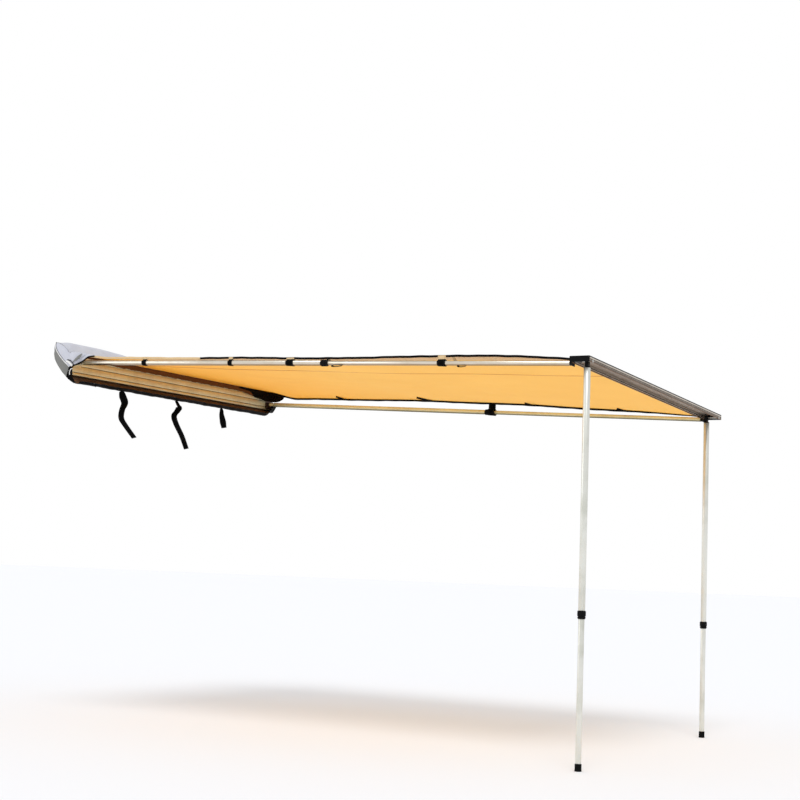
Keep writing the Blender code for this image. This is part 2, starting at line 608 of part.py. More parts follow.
def build_pole(prefix, holder, radius, wall, inner_radius, outer_end, collar, inner):
    """Telescopic pole along +X of its holder: end fitting, outer tube, twist collar, inner tube and lock.

    collar is (start, length, radius), inner is (start, end) of the inner tube.
    """
    kind, side = prefix
    bore = radius - wall
    finish = "silver_aluminium" if kind == "arm" else "black_plastic"
    end_fitting_mesh(f"{kind}_hinge_end_{side}", bore, radius, finish, holder)
    tube = [(TUBE_START, bore), (TUBE_START, radius), (outer_end, radius), (outer_end, bore)]
    piece(f"{kind}_outer_tube_{side}", turned_mesh(tube, True), "silver_aluminium", holder)
    start, length, collar_radius = collar
    step = outer_end + GAP
    sleeve, throat = radius + GAP, inner_radius + GAP
    edge = 0.002
    ring = [(start, sleeve), (start, collar_radius - edge), (start + edge, collar_radius),
            (start + length - 3 * edge, collar_radius), (start + length, collar_radius - 2 * edge),
            (start + length, throat), (step, throat), (step, sleeve)]
    piece(f"{kind}_collar_{side}", turned_mesh(ring, True), "black_plastic", holder)
    inner_start, inner_end = inner
    inner_bore = inner_radius - wall
    tube = [(inner_start, inner_bore), (inner_start, inner_radius), (inner_end, inner_radius),
            (inner_end, inner_bore)]
    piece(f"{kind}_inner_tube_{side}", turned_mesh(tube, True), "silver_aluminium", holder)
    plug = inner_bore - GAP
    cam = bore - GAP
    lock = [(inner_start - 0.020, 0), (inner_start - 0.020, cam - 0.002), (inner_start - 0.016, cam),
            (inner_start - 0.004, cam), (inner_start - GAP, inner_radius - 0.001), (inner_start - GAP, plug),
            (inner_start + 0.025, plug), (inner_start + 0.025, 0)]
    piece(f"{kind}_twist_lock_{side}", turned_mesh(lock, False), "nylon", holder)


def arm_frame(side):
    """Arm's frame in rail coordinates: origin at the pivot, +X along the arm, +Z on the hinge's axis."""
    place = (PIVOT_REACH, SIDES[side] * ARM_SIDE, ARM_PIVOT_HEIGHT[side])
    return Matrix.Translation(place) @ Matrix.Rotation(arm_slope(side), 4, "Y")


def build_arm(root, side):
    """Hinge ears on the rail, pivot pin and telescopic arm with a domed tip."""
    holder = empty(f"arm_pivot_{side}", root, arm_frame(side))
    base_x = RAIL_DEPTH + GAP
    y, z = SIDES[side] * ARM_SIDE, ARM_PIVOT_HEIGHT[side]
    edges = (y - EAR_BASE_WIDTH / 2, y + EAR_BASE_WIDTH / 2)
    bracket = piece(f"arm_bracket_{side}", box_mesh((base_x, edges[0], z - EAR_BASE_HALF),
                                                    (base_x + EAR_BASE, edges[1], z + EAR_BASE_HALF)),
                    "champagne_aluminium", root)
    ear_gap = EYE_HALF + GAP
    back = RAIL_DEPTH + GAP + EAR_BASE / 2 - PIVOT_REACH
    profile = [(back, -EYE_RADIUS), (0, -EYE_RADIUS), *arc((0, 0), EYE_RADIUS, -70, 70, 8),
               (0, EYE_RADIUS), (back, EYE_RADIUS)]
    for name, low, high in (("upper", ear_gap, ear_gap + EAR), ("lower", -ear_gap - EAR, -ear_gap)):
        ear = piece(f"ear_{name}_{side}", prism_mesh(profile, low, high, "Z"), None, holder)
        combine(bracket, ear, "UNION")
    bore = piece(f"ear_bore_{side}", rod_mesh(-0.03, 0.03, PIN_RADIUS + PIN_CLEARANCE, "Z"), None, holder)
    combine(bracket, bore, "DIFFERENCE")
    outside = ear_gap + EAR + GAP
    head = [(outside + PIN_HEAD, 0), (outside + PIN_HEAD, PIN_HEAD_RADIUS), (outside, PIN_HEAD_RADIUS),
            (outside, PIN_RADIUS), (-outside, PIN_RADIUS), (-outside, PIN_HEAD_RADIUS),
            (-outside - PIN_HEAD, PIN_HEAD_RADIUS), (-outside - PIN_HEAD, 0)]
    piece(f"arm_pin_{side}", turned_mesh(head, False, SMALL_ROUND, "Z"), "zinc_steel", holder)

    inner_end = ARM_LENGTH - ARM_TIP
    build_pole(("arm", side), holder, ARM_RADIUS, ARM_WALL, ARM_INNER_RADIUS, ARM_OUTER_END,
               (ARM_COLLAR_START, ARM_COLLAR_LENGTH, ARM_COLLAR_RADIUS),
               (ARM_OUTER_END - ARM_OVERLAP, inner_end))
    plug = ARM_INNER_RADIUS - ARM_WALL - GAP
    radius = ARM_INNER_RADIUS
    face = inner_end + GAP
    dome = ARM_LENGTH - face
    rounded = [(face + dome * 0.5 + dome * 0.5 * math.sin(math.radians(a)), radius * math.cos(math.radians(a)))
               for a in (0, 22.5, 45, 67.5)]
    tip_shape = [(face - PLUG, 0), (face - PLUG, plug), (face, plug), (face, radius), *rounded, (ARM_LENGTH, 0)]
    piece(f"arm_tip_{side}", turned_mesh(tip_shape, False), "black_plastic", holder)


def beam_outline():
    """Section of the front beam: channel open below, with a keder groove in its inner side."""
    inside = HALF_BEAM - BEAM_WALL
    boss = BEAM_KEDER[0] + KEDER_GROOVE_RADIUS + 0.0012
    boss_z = BEAM_KEDER[1] - KEDER_GROOVE_RADIUS - 0.0016
    groove = list(reversed(keder_groove(-HALF_BEAM, *BEAM_KEDER, -1)))
    return [(-HALF_BEAM, -BEAM_HEIGHT), *groove, (-HALF_BEAM, 0), (HALF_BEAM, 0),
            *grooved_face(HALF_BEAM, BEAM_GROOVE_HEIGHTS), (HALF_BEAM, -BEAM_HEIGHT),
            (inside, -BEAM_HEIGHT), (inside, -BEAM_WALL), (boss, -BEAM_WALL), (boss, boss_z),
            (-inside, boss_z), (-inside, -BEAM_HEIGHT)]


def beam_frame():
    """Beam's frame in rail coordinates: origin at the middle of its top, +Y along the tilted beam."""
    return Matrix.Translation((BEAM_MID_X, 0, BEAM_TOP)) @ Matrix.Rotation(-BEAM_TILT, 4, "X")


def along_beam(y):
    """Distance along the tilted beam of a place that is y along the vehicle."""
    return y / math.cos(BEAM_TILT)


def build_beam(root):
    """Front beam with its end caps and the pins of the legs."""
    holder = empty("beam_frame", root, beam_frame())
    half = BEAM_LENGTH / 2 - CAP_PLATE
    beam = piece("front_beam", prism_mesh(beam_outline(), -half, half, "Y"), "grey_aluminium", holder)
    inside = HALF_BEAM - BEAM_WALL
    for side, sign in SIDES.items():
        pin_y = along_beam(sign * LEG_SIDE)
        bore = piece(f"leg_pin_bore_{side}", rod_mesh(-HALF_BEAM - 0.01, HALF_BEAM + 0.01,
                                                      PIN_RADIUS + PIN_CLEARANCE), None, holder)
        bore.location = (0, pin_y, -LEG_PIVOT_DROP)
        combine(beam, bore, "DIFFERENCE")
        head = HALF_BEAM + GAP
        pin = [(-HALF_BEAM + 0.0002, 0), (-HALF_BEAM + 0.0002, PIN_RADIUS), (head, PIN_RADIUS),
               (head, PIN_HEAD_RADIUS), (head + PIN_HEAD, PIN_HEAD_RADIUS), (head + PIN_HEAD, 0)]
        rod = piece(f"leg_pin_{side}", turned_mesh(pin, False, SMALL_ROUND), "zinc_steel", holder)
        rod.location = (0, pin_y, -LEG_PIVOT_DROP)

        bottom = -BEAM_HEIGHT - LIP_DROP
        plate = [(-HALF_BEAM, bottom), (-HALF_BEAM, 0), (HALF_BEAM, 0), (HALF_BEAM, -BEAM_HEIGHT),
                 (-HALF_BEAM + LIP_WIDTH, -BEAM_HEIGHT), (-HALF_BEAM + LIP_WIDTH, bottom)]
        faces = sorted((sign * (half + GAP), sign * (half + CAP_PLATE)))
        cap = piece(f"beam_end_cap_{side}", prism_mesh(plate, *faces, "Y"), "black_plastic", holder)
        reach = sorted((sign * (half + CAP_PLATE / 2), sign * (half + CAP_PLATE - LIP_LENGTH)))
        lip = piece(f"cap_lip_{side}", box_mesh((-HALF_BEAM, reach[0], bottom),
                                                (-HALF_BEAM + LIP_PLATE, reach[1], -BEAM_HEIGHT - GAP)),
                    None, holder)
        combine(cap, lip, "UNION")
        reach = sorted((sign * (half + CAP_PLATE / 2), sign * (half - CAP_PLUG_LENGTH)))
        low = (-HALF_BEAM * 0.72, reach[0], -BEAM_WALL - GAP - CAP_PLUG_HEIGHT)
        high = (inside - GAP, reach[1], -BEAM_WALL - GAP)
        plug = piece(f"cap_plug_{side}", box_mesh(low, high), None, holder)
        combine(cap, plug, "UNION")


def leg_frame(side):
    """Leg's frame: origin on the pivot, +X down the leg, +Z on the pivot's axis."""
    sign = SIDES[side]
    y = sign * LEG_SIDE
    frame = beam_frame() @ Matrix.Translation((-sign * LEG_LANE, along_beam(y), -LEG_PIVOT_DROP))
    turned = Matrix(((0, 0, 1, 0), (0, 1, 0, 0), (-1, 0, 0, 0), (0, 0, 0, 1)))
    return Matrix.Translation(frame.translation) @ turned


def build_leg(root, side):
    """Telescopic leg that hangs plumb from its pin, with a rubber foot."""
    frame = leg_frame(side)
    holder = empty(f"leg_pivot_{side}", root, frame)
    length = frame.translation.z - GROUND
    inner_end = length - FOOT_SOLE
    build_pole(("leg", side), holder, LEG_RADIUS, LEG_WALL, LEG_INNER_RADIUS, LEG_OUTER_END,
               (LEG_COLLAR_START, LEG_COLLAR_LENGTH, LEG_COLLAR_RADIUS),
               (inner_end - LEG_INNER_LENGTH, inner_end))
    top = length - FOOT_HEIGHT
    bore = LEG_INNER_RADIUS + GAP
    foot = [(inner_end + GAP, 0), (inner_end + GAP, bore), (top, bore), (top, FOOT_RADIUS - 0.001),
            (length - 0.003, FOOT_RADIUS), (length, FOOT_RADIUS - 0.0015), (length, 0)]
    piece(f"leg_foot_{side}", turned_mesh(foot, False), "black_rubber", holder)


CANOPY_START = RAIL_DEPTH + 2 * GAP
CANOPY_END = BEAM_INNER_X - 2 * GAP - 0.0003


def canopy_point(u, v):
    """Point of the stretched canopy: u from the rail to the beam, v from the near to the far edge."""
    y = v * ARM_SIDE
    x = CANOPY_START + (CANOPY_END - CANOPY_START) * u
    start, end = RAIL_KEDER[1], beam_top(y) - BEAM_KEDER_DROP / math.cos(BEAM_TILT)
    side = "near" if v < 0 else "far"
    drop = EDGE_DROP[side] * (1 - u) ** 1.6 * smooth_step(u / EDGE_DROP_START)
    rise = max(0.0, (u - EDGE_LIFT_START[side]) / (1 - EDGE_LIFT_START[side]))
    edge = (drop - EDGE_LIFT[side] * math.sin(math.pi * rise)) * abs(v) ** 3
    sag = CANOPY_SAG * math.sin(math.pi * u) * (1 - v * v)
    scallop = 0.0030 * v ** 6 * math.sin(4 * math.pi * u) ** 2
    pull = 0.0020 * math.sin(6 * math.pi * u) * v * v * (1 - v * v) * 4
    return Vector((x, y, start + (end - start) * u - edge - sag + scallop + pull))


def tie_outline(radius, hem_side, rise):
    """Hook-and-loop tie seen along the arm: a split ring round the tube with a tab up to the hem."""
    inner = radius + TIE_SLACK
    outer = inner + TIE_BAND
    slit = 8
    lean = math.degrees(math.acos(min(1.0, HEM_THICKNESS / 2 / outer)))
    start, end = sorted((hem_side * GAP, hem_side * (GAP + HEM_THICKNESS)))
    root_height = math.sqrt(outer * outer - max(abs(start), abs(end)) ** 2) - TIE_BAND / 2
    left = [p for p in arc((0, 0), outer, 90 + 14, 270 - slit, 10)]
    right = [p for p in arc((0, 0), outer, -90 + slit, 90 - 14, 10)]
    tab = [(end, root_height), (end, rise), (start, rise), (start, root_height)]
    inside = arc((0, 0), inner, 270 - slit, -90 + slit, 20)
    return right + tab + left + inside


def build_hem(root, side):
    """Binding along one edge of the canopy, with the ties that hold it to the arm."""
    sign = SIDES[side]
    shift = Vector((0, sign * (GAP + HEM_THICKNESS / 2), 0))
    steps = CANOPY_ROWS
    margin = 0.004
    route = [canopy_point(margin + (1 - 2 * margin) * step / steps, sign) + shift for step in range(steps + 1)]
    hem = piece(f"canopy_hem_{side}", ribbon_mesh(route, (0, 0, HEM_HEIGHT), HEM_THICKNESS),
                "black_binding", root)
    slope = arm_slope(side)
    for number, distance in enumerate(NEAR_TIES if side == "near" else FAR_TIES, 1):
        place = arm_frame(side) @ Vector((distance, 0, 0))
        share = (place.x - CANOPY_START) / (CANOPY_END - CANOPY_START)
        rise = canopy_point(share, sign).z - place.z
        radius = ARM_RADIUS if distance < ARM_OUTER_END else ARM_INNER_RADIUS
        outline = tie_outline(radius, sign, rise)
        tie = piece(f"tie_{side}_{number}", prism_mesh(outline, -TIE_WIDTH / 2, TIE_WIDTH / 2, "X"), None, root)
        tie.location = place
        combine(hem, tie, "UNION")
    if side == "far":
        for number, distance in enumerate(FAR_TABS, 1):
            share = distance / ARM_LENGTH
            start = canopy_point(share, sign) + shift + Vector((0, 0, -HEM_HEIGHT / 2 + 0.002))
            end = start + Vector((-0.012, -TAB_LENGTH, -0.006))
            tab = piece(f"tab_{number}", ribbon_mesh([start, (start + end) / 2, end], (TAB_WIDTH, 0, 0),
                                                     TIE_BAND), None, root)
            combine(hem, tab, "UNION")


def build_canopy(root):
    """Canopy sheet between the rail and the beam, its beaded ends, and its bound edges."""
    grid = [[canopy_point(r / CANOPY_ROWS, 2 * c / CANOPY_COLUMNS - 1) for c in range(CANOPY_COLUMNS + 1)]
            for r in range(CANOPY_ROWS + 1)]
    piece("canopy_sheet", sheet_mesh(grid, CANOPY_SHEET), "canvas", root)
    outline = keder_outline(*RAIL_KEDER, RAIL_DEPTH + GAP, 1)
    piece("canopy_keder_rail", prism_mesh(outline, -ARM_SIDE, ARM_SIDE, "Y"), "white_cord", root)
    holder = bpy.data.objects["beam_frame"]
    outline = keder_outline(*BEAM_KEDER, -HALF_BEAM - GAP, -1)
    piece("canopy_keder_beam", prism_mesh(outline, -ARM_SIDE, ARM_SIDE, "Y"), "white_cord", holder)


def main():
    """Build every piece of the awning."""
    clear_scene()
    origin = Matrix.Translation((-ORIGIN_X, 0, -BRACKET_BOTTOM))
    root = empty("awning", None, origin)
    build_rail(root)
    build_mounting(root)
    build_bag(root)
    build_straps(root)
    for side in SIDES:
        build_arm(root, side)
    build_beam(root)
    for side in SIDES:
        build_leg(root, side)
    build_canopy(root)
    for side in SIDES:
        build_hem(root, side)


main()
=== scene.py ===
"""Vehicle side awning, pulled out on its two arms and standing on its two legs.

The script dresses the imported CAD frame: it builds finer surfaces over the plain solids, gives every
piece a procedural finish, and sets up a pale studio with the camera of the photograph. Everything is
worked out in rail coordinates, in metres: x out from the base rail's back face, y along the rail and
z from the rail's mid height. Workshop.piece moves finished points to the frame's own origin.
"""
from __future__ import annotations

import json
import logging
import math
from dataclasses import dataclass, field
from enum import Enum

import bmesh
import bpy
import numpy as np
from mathutils import Matrix, Vector
from numpy.typing import ArrayLike

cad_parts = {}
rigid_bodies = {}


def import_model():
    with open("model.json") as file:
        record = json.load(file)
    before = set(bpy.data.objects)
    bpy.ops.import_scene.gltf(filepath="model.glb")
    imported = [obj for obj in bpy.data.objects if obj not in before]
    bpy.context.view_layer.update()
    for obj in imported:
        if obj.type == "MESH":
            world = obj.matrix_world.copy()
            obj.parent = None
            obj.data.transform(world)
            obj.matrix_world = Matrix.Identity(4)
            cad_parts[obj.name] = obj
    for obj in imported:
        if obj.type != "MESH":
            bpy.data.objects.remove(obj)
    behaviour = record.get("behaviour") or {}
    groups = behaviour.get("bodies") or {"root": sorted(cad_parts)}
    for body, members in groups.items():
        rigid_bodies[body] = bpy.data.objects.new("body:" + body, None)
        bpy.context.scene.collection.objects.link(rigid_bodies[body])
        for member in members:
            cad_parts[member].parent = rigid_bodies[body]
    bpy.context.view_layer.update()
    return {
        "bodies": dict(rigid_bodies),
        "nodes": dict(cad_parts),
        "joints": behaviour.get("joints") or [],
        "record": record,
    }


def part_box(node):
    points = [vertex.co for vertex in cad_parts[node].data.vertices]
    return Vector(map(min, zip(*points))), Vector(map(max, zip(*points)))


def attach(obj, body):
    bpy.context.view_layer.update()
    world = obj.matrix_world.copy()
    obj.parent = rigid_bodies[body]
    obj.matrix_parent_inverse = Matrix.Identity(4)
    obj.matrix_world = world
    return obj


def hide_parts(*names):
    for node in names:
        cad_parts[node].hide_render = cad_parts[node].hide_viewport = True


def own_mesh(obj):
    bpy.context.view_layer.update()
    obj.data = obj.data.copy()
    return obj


LOG = logging.getLogger("awning")
# Clearance between neighbouring pieces
GAP = 0.0003
# Radius of the grooves that hold the canopy's beaded ends, and half the width of their mouths
KEDER_RADIUS, KEDER_MOUTH = 0.0026, 0.001
# Distance at which a wave texture of scale 1 repeats
WAVE_REPEAT = 0.314
# Unit vectors of the rail's frame: out from the rail, along it and up
OUT, ALONG, UP = np.eye(3)


class Side(Enum):
    """The awning's two ends: near has the higher arm, far the lower end of the beam."""

    NEAR = "near"
    FAR = "far"

    @property
    def sign(self) -> int:
        """Direction of this end along the rail: -1 near, 1 far."""
        return -1 if self is Side.NEAR else 1


class Drawn(Enum):
    """Direction in which a metal was drawn or extruded, as the scale of its streaks per axis."""

    ALONG_X = (2.0, 420.0, 420.0)
    ALONG_Y = (420.0, 2.0, 420.0)
    ALONG_Z = (420.0, 420.0, 2.0)


# Nodes and finishes


def linear(colour: str) -> tuple[float, float, float, float]:
    """Turn an sRGB hex colour to linear.

    Args:
        colour: six hex digits after a hash.

    Returns:
        Linear red, green, blue and an alpha of 1.
    """
    parts = [int(colour[i:i + 2], 16) / 255 for i in (1, 3, 5)]
    red, green, blue = (p / 12.92 if p <= 0.04045 else ((p + 0.055) / 1.055) ** 2.4 for p in parts)
    return red, green, blue, 1.0


def add_node(tree: bpy.types.NodeTree, kind: str, settings: dict | None = None,
             links: dict | None = None) -> bpy.types.Node:
    """Add a node to a tree.

    Args:
        tree: the material's or world's node tree.
        kind: the node's type name, without the ShaderNode prefix.
        settings: values by input name, input number or property name.
        links: output sockets by input name or number.

    Returns:
        The new node.
    """
    node = tree.nodes.new("ShaderNode" + kind)
    for key, value in (settings or {}).items():
        if isinstance(key, int) or key in node.inputs:
            node.inputs[key].default_value = value
        else:
            setattr(node, key, value)
    for key, socket in (links or {}).items():
        tree.links.new(socket, node.inputs[key])
    return node


@dataclass(frozen=True)
class Finish:
    """A surface finish: its name, its sRGB colour and its shader's plain values."""

    name: str
    colour: str
    roughness: float = 0.5
    metallic: float = 0.0

    def build(self) -> bpy.types.Material:
        """Make the material once.

        Returns:
            The material.
        """
        made = bpy.data.materials.get(self.name)
        if made is None:
            made = bpy.data.materials.new(self.name)
            made.use_nodes = True
            tree = made.node_tree
            shader = tree.nodes["Principled BSDF"]
            shader.inputs["Base Color"].default_value = linear(self.colour)
            shader.inputs["Roughness"].default_value = self.roughness
            shader.inputs["Metallic"].default_value = self.metallic
            self.dress(tree, shader)
        return made

    def dress(self, tree: bpy.types.NodeTree, shader: bpy.types.Node) -> None:
        """Add the finish's pattern. A plain finish has none."""

    def vary(self, tree: bpy.types.NodeTree, shader: bpy.types.Node, mask: bpy.types.NodeSocket,
             other: str, rough: tuple[float, float]) -> None:
        """Let a mask move the colour towards another one, and the roughness between two values.

        Args:
            tree: the material's node tree.
            shader: its Principled shader.
            mask: a socket from 0 to 1.
            other: sRGB colour where the mask is 1.
            rough: roughness where the mask is 0 and where it is 1.
        """
        mix = add_node(tree, "Mix", {"data_type": "RGBA", 6: linear(self.colour), 7: linear(other)}, {0: mask})
        tree.links.new(mix.outputs[2], shader.inputs["Base Color"])
        span = add_node(tree, "MapRange", {"To Min": rough[0], "To Max": rough[1]}, {"Value": mask})
        tree.links.new(span.outputs[0], shader.inputs["Roughness"])

    def bump(self, tree: bpy.types.NodeTree, shader: bpy.types.Node, height: bpy.types.NodeSocket,
             depth: float, strength: float = 1.0) -> None:
        """Raise the surface by a height socket.

        Args:
            tree: the material's node tree.
            shader: its Principled shader.
            height: a socket from 0 to 1.
            depth: how far 1 stands above 0, in metres.
            strength: share of the effect.
        """
        node = add_node(tree, "Bump", {"Distance": depth, "Strength": strength}, {"Height": height})
        tree.links.new(node.outputs[0], shader.inputs["Normal"])


@dataclass(frozen=True)
class DrawnMetal(Finish):
    """Extruded or drawn metal: fine die lines along its length, a little handling wear.

    Where a colour is given for its underside, that side gets painted shade in that colour.
    """

    metallic: float = 1.0
    drawn: Drawn = Drawn.ALONG_X
    worn: str = "#8f8c86"
    under: str = ""

    def dress(self, tree: bpy.types.NodeTree, shader: bpy.types.Node) -> None:
        """Die lines 2 to 3 mm apart, coarser than the real ones so that they show, and soft blotches.

        Args:
            tree: the material's node tree.
            shader: its Principled shader.
        """
        place = add_node(tree, "TexCoord").outputs["Object"]
        stretched = add_node(tree, "Mapping", {"Scale": self.drawn.value}, {"Vector": place})
        lines = add_node(tree, "TexNoise", {"Scale": 1.0, "Detail": 3.0, "Roughness": 0.6},
                         {"Vector": stretched.outputs[0]})
        blotch = add_node(tree, "TexNoise", {"Scale": 9.0, "Detail": 4.0, "Roughness": 0.55}, {"Vector": place})
        sharper = add_node(tree, "MapRange", {"From Min": 0.45, "From Max": 0.85}, {"Value": blotch.outputs[0]})
        both = add_node(tree, "Math", {"operation": "MULTIPLY", 1: 0.55}, {0: sharper.outputs[0]})
        some = add_node(tree, "Math", {"operation": "MULTIPLY_ADD", 1: 0.30},
                        {0: lines.outputs[0], 2: both.outputs[0]})
        self.vary(tree, shader, some.outputs[0], self.worn, (self.roughness - 0.05, self.roughness + 0.16))
        # Painted shade on the underside, where a colour is given for it
        if self.under:
            self.paint_underside_shade(tree, shader)
        self.bump(tree, shader, lines.outputs[0], 0.00012, 0.5)

    def paint_underside_shade(self, tree: bpy.types.NodeTree, shader: bpy.types.Node) -> None:
        """Paint shade on the side that faces the ground, by how far its normal points down.

        Args:
            tree: the material's node tree.
            shader: its Principled shader.
        """
        unshaded_colour = shader.inputs["Base Color"].links[0].from_socket
        split = add_node(tree, "SeparateXYZ", None, {0: add_node(tree, "NewGeometry").outputs["Normal"]})
        mask = add_node(tree, "MapRange", {"From Min": -0.10, "From Max": -0.90}, {"Value": split.outputs[2]})
        mix = add_node(tree, "Mix", {"data_type": "RGBA", 7: linear(self.under)}, {0: mask.outputs[0], 6: unshaded_colour})
        tree.links.new(mix.outputs[2], shader.inputs["Base Color"])


@dataclass(frozen=True)
class MouldedPlastic(Finish):
    """Injection-moulded nylon or rubber: a fine spark-eroded grain and a dull sheen on wear."""

    gleam: float = 0.10
    grain: float = 900.0
    relief: float = 0.00012
    rubbed: str = "#0f0f10"

    def dress(self, tree: bpy.types.NodeTree, shader: bpy.types.Node) -> None:
        """Grain of about a millimetre with slow changes of gloss.

        Args:
            tree: the material's node tree.
            shader: its Principled shader.
        """
        place = add_node(tree, "TexCoord").outputs["Object"]
        grain = add_node(tree, "TexNoise", {"Scale": self.grain, "Detail": 2.0}, {"Vector": place})
        slow = add_node(tree, "TexNoise", {"Scale": 40.0, "Detail": 3.0}, {"Vector": place})
        self.vary(tree, shader, slow.outputs[0], self.rubbed, (self.roughness - 0.08, self.roughness + 0.10))
        shader.inputs["Specular IOR Level"].default_value = self.gleam
        self.bump(tree, shader, grain.outputs[0], self.relief, 0.6)


@dataclass(frozen=True)
class CoatedCloth(Finish):
    """Polyester cloth with a PVC coat: a fine weave under a soft gloss, and dust in the folds."""

    dust: str = "#6d6a66"
    pitch: float = 0.0030
    gloss: float = 0.25
    gleam: float = 0.5

    def dress(self, tree: bpy.types.NodeTree, shader: bpy.types.Node) -> None:
        """Weave of 3 mm threads, coarser than the real one so that it shows, from the piece's own map.

        Args:
            tree: the material's node tree.
            shader: its Principled shader.
        """
        plane = add_node(tree, "TexCoord").outputs["UV"]
        scale = WAVE_REPEAT / self.pitch
        warp = add_node(tree, "TexWave", {"bands_direction": "X", "Scale": scale}, {"Vector": plane})
        weft = add_node(tree, "TexWave", {"bands_direction": "Y", "Scale": scale}, {"Vector": plane})
        weave = add_node(tree, "Math", {"operation": "MAXIMUM"}, {0: warp.outputs[1], 1: weft.outputs[1]})
        slow = add_node(tree, "TexNoise", {"Scale": 14.0, "Detail": 5.0, "Roughness": 0.6}, {"Vector": plane})
        soft = add_node(tree, "MapRange", {"From Min": 0.42, "From Max": 0.95, "To Max": 0.55},
                        {"Value": slow.outputs[0]})
        self.vary(tree, shader, soft.outputs[0], self.dust, (self.roughness, self.roughness + 0.2))
        self.bump(tree, shader, weave.outputs[0], 0.00015, 0.5)
        shader.inputs["Specular IOR Level"].default_value = self.gleam
        shader.inputs["Coat Weight"].default_value = self.gloss
        shader.inputs["Coat Roughness"].default_value = 0.4


@dataclass(frozen=True)
class Canvas(Finish):
    """Ripstop polyester canvas that lets light through, so that its shaded side glows warmer.

    Near the rail its colour and its glow are painted warmer, as painted light, and fade over the root's span.
    """

    glow: str = "#ffdc60"
    root: str = "#ffd060"
    root_painted_glow: str = "#ffd23c"
    root_span: tuple[float, float] = (0.25, 1.30)
    soiled: str = "#e6bb68"
    share: float = 0.42
    ripstop: float = 0.012

    def dress(self, tree: bpy.types.NodeTree, shader: bpy.types.Node) -> None:
        """Ripstop squares drawn at 12 mm, twice their real pitch, over a thread grain and slow shading.

        The map's first axis runs out from the rail.

        Args:
            tree: the material's node tree.
            shader: its Principled shader.
        """
        plane = add_node(tree, "TexCoord").outputs["UV"]
        split = add_node(tree, "SeparateXYZ", None, {0: plane})
        lines = []
        for axis in (0, 1):
            phase = add_node(tree, "Math", {"operation": "DIVIDE", 1: self.ripstop}, {0: split.outputs[axis]})
            cycle = add_node(tree, "Math", {"operation": "FRACT"}, {0: phase.outputs[0]})
            line = add_node(tree, "Math", {"operation": "LESS_THAN", 1: 0.09}, {0: cycle.outputs[0]})
            lines.append(line.outputs[0])
        grid = add_node(tree, "Math", {"operation": "MAXIMUM"}, {0: lines[0], 1: lines[1]})
        grain = add_node(tree, "TexNoise", {"Scale": 700.0, "Detail": 2.0}, {"Vector": plane})
        slow = add_node(tree, "TexNoise", {"Scale": 2.2, "Detail": 4.0, "Roughness": 0.5}, {"Vector": plane})
        shade = add_node(tree, "Math", {"operation": "MULTIPLY_ADD", 1: 0.22},
                         {0: grid.outputs[0], 2: slow.outputs[0]})
        soft = add_node(tree, "MapRange", {"From Min": 0.35, "From Max": 1.1, "To Max": 0.45},
                        {"Value": shade.outputs[0]})
        self.vary(tree, shader, soft.outputs[0], self.soiled, (self.roughness - 0.05, self.roughness + 0.05))
        # Painted light: the colour and the glow are warmer near the rail
        out = add_node(tree, "MapRange", {"From Min": self.root_span[0], "From Max": self.root_span[1]},
                       {"Value": split.outputs[0]})
        own = add_node(tree, "Mix", {"data_type": "RGBA", 6: linear(self.root), 7: linear(self.colour)},
                       {0: out.outputs[0]})
        tree.links.new(own.outputs[2], shader.inputs["Base Color"].links[0].from_node.inputs[6])
        lit = add_node(tree, "Mix", {"data_type": "RGBA", 6: linear(self.root_painted_glow), 7: linear(self.glow)},
                       {0: out.outputs[0]})
        height = add_node(tree, "Math", {"operation": "MULTIPLY_ADD", 1: 0.25},
                          {0: grain.outputs[0], 2: grid.outputs[0]})
        self.bump(tree, shader, height.outputs[0], 0.00015, 0.5)
        through = add_node(tree, "BsdfTranslucent", None, {"Color": lit.outputs[2]})
        blend = add_node(tree, "MixShader", {0: self.share}, {1: shader.outputs[0], 2: through.outputs[0]})
        tree.links.new(blend.outputs[0], tree.nodes["Material Output"].inputs["Surface"])


@dataclass(frozen=True)
class Webbing(Finish):
    """Woven tape: ribs across it, one line of stitches near each edge."""

    rib: float = 0.0026
    stitch: str = "#26262a"
    stitch_length: float = 0.005

    def dress(self, tree: bpy.types.NodeTree, shader: bpy.types.Node) -> None:
        """Ribs from the piece's own map, whose first axis runs along the tape and second from 0 to 1 across.

        Args:
            tree: the material's node tree.
            shader: its Principled shader.
        """
        plane = add_node(tree, "TexCoord").outputs["UV"]
        ribs = add_node(tree, "TexWave", {"bands_direction": "X", "Scale": WAVE_REPEAT / self.rib},
                        {"Vector": plane})
        split = add_node(tree, "SeparateXYZ", None, {0: plane})
        middle = add_node(tree, "Math", {"operation": "PINGPONG", 1: 0.5}, {0: split.outputs[1]})
        near_edge = add_node(tree, "Math", {"operation": "COMPARE", 1: 0.13, 2: 0.025}, {0: middle.outputs[0]})
        phase = add_node(tree, "Math", {"operation": "DIVIDE", 1: self.stitch_length}, {0: split.outputs[0]})
        cycle = add_node(tree, "Math", {"operation": "FRACT"}, {0: phase.outputs[0]})
        dash = add_node(tree, "Math", {"operation": "LESS_THAN", 1: 0.68}, {0: cycle.outputs[0]})
        thread = add_node(tree, "Math", {"operation": "MULTIPLY"}, {0: near_edge.outputs[0], 1: dash.outputs[0]})
        self.vary(tree, shader, thread.outputs[0], self.stitch, (self.roughness, 0.6))
        shader.inputs["Specular IOR Level"].default_value = 0.06
        height = add_node(tree, "Math", {"operation": "ADD"}, {0: ribs.outputs[1], 1: thread.outputs[0]})
        self.bump(tree, shader, height.outputs[0], 0.0003, 0.6)


# Champagne anodised extrusion: warm and satin, and it takes the colour of what it faces
CHAMPAGNE = DrawnMetal("champagne_anodised_aluminium", "#dbd3b0", 0.50, drawn=Drawn.ALONG_Y, worn="#b3a27a")
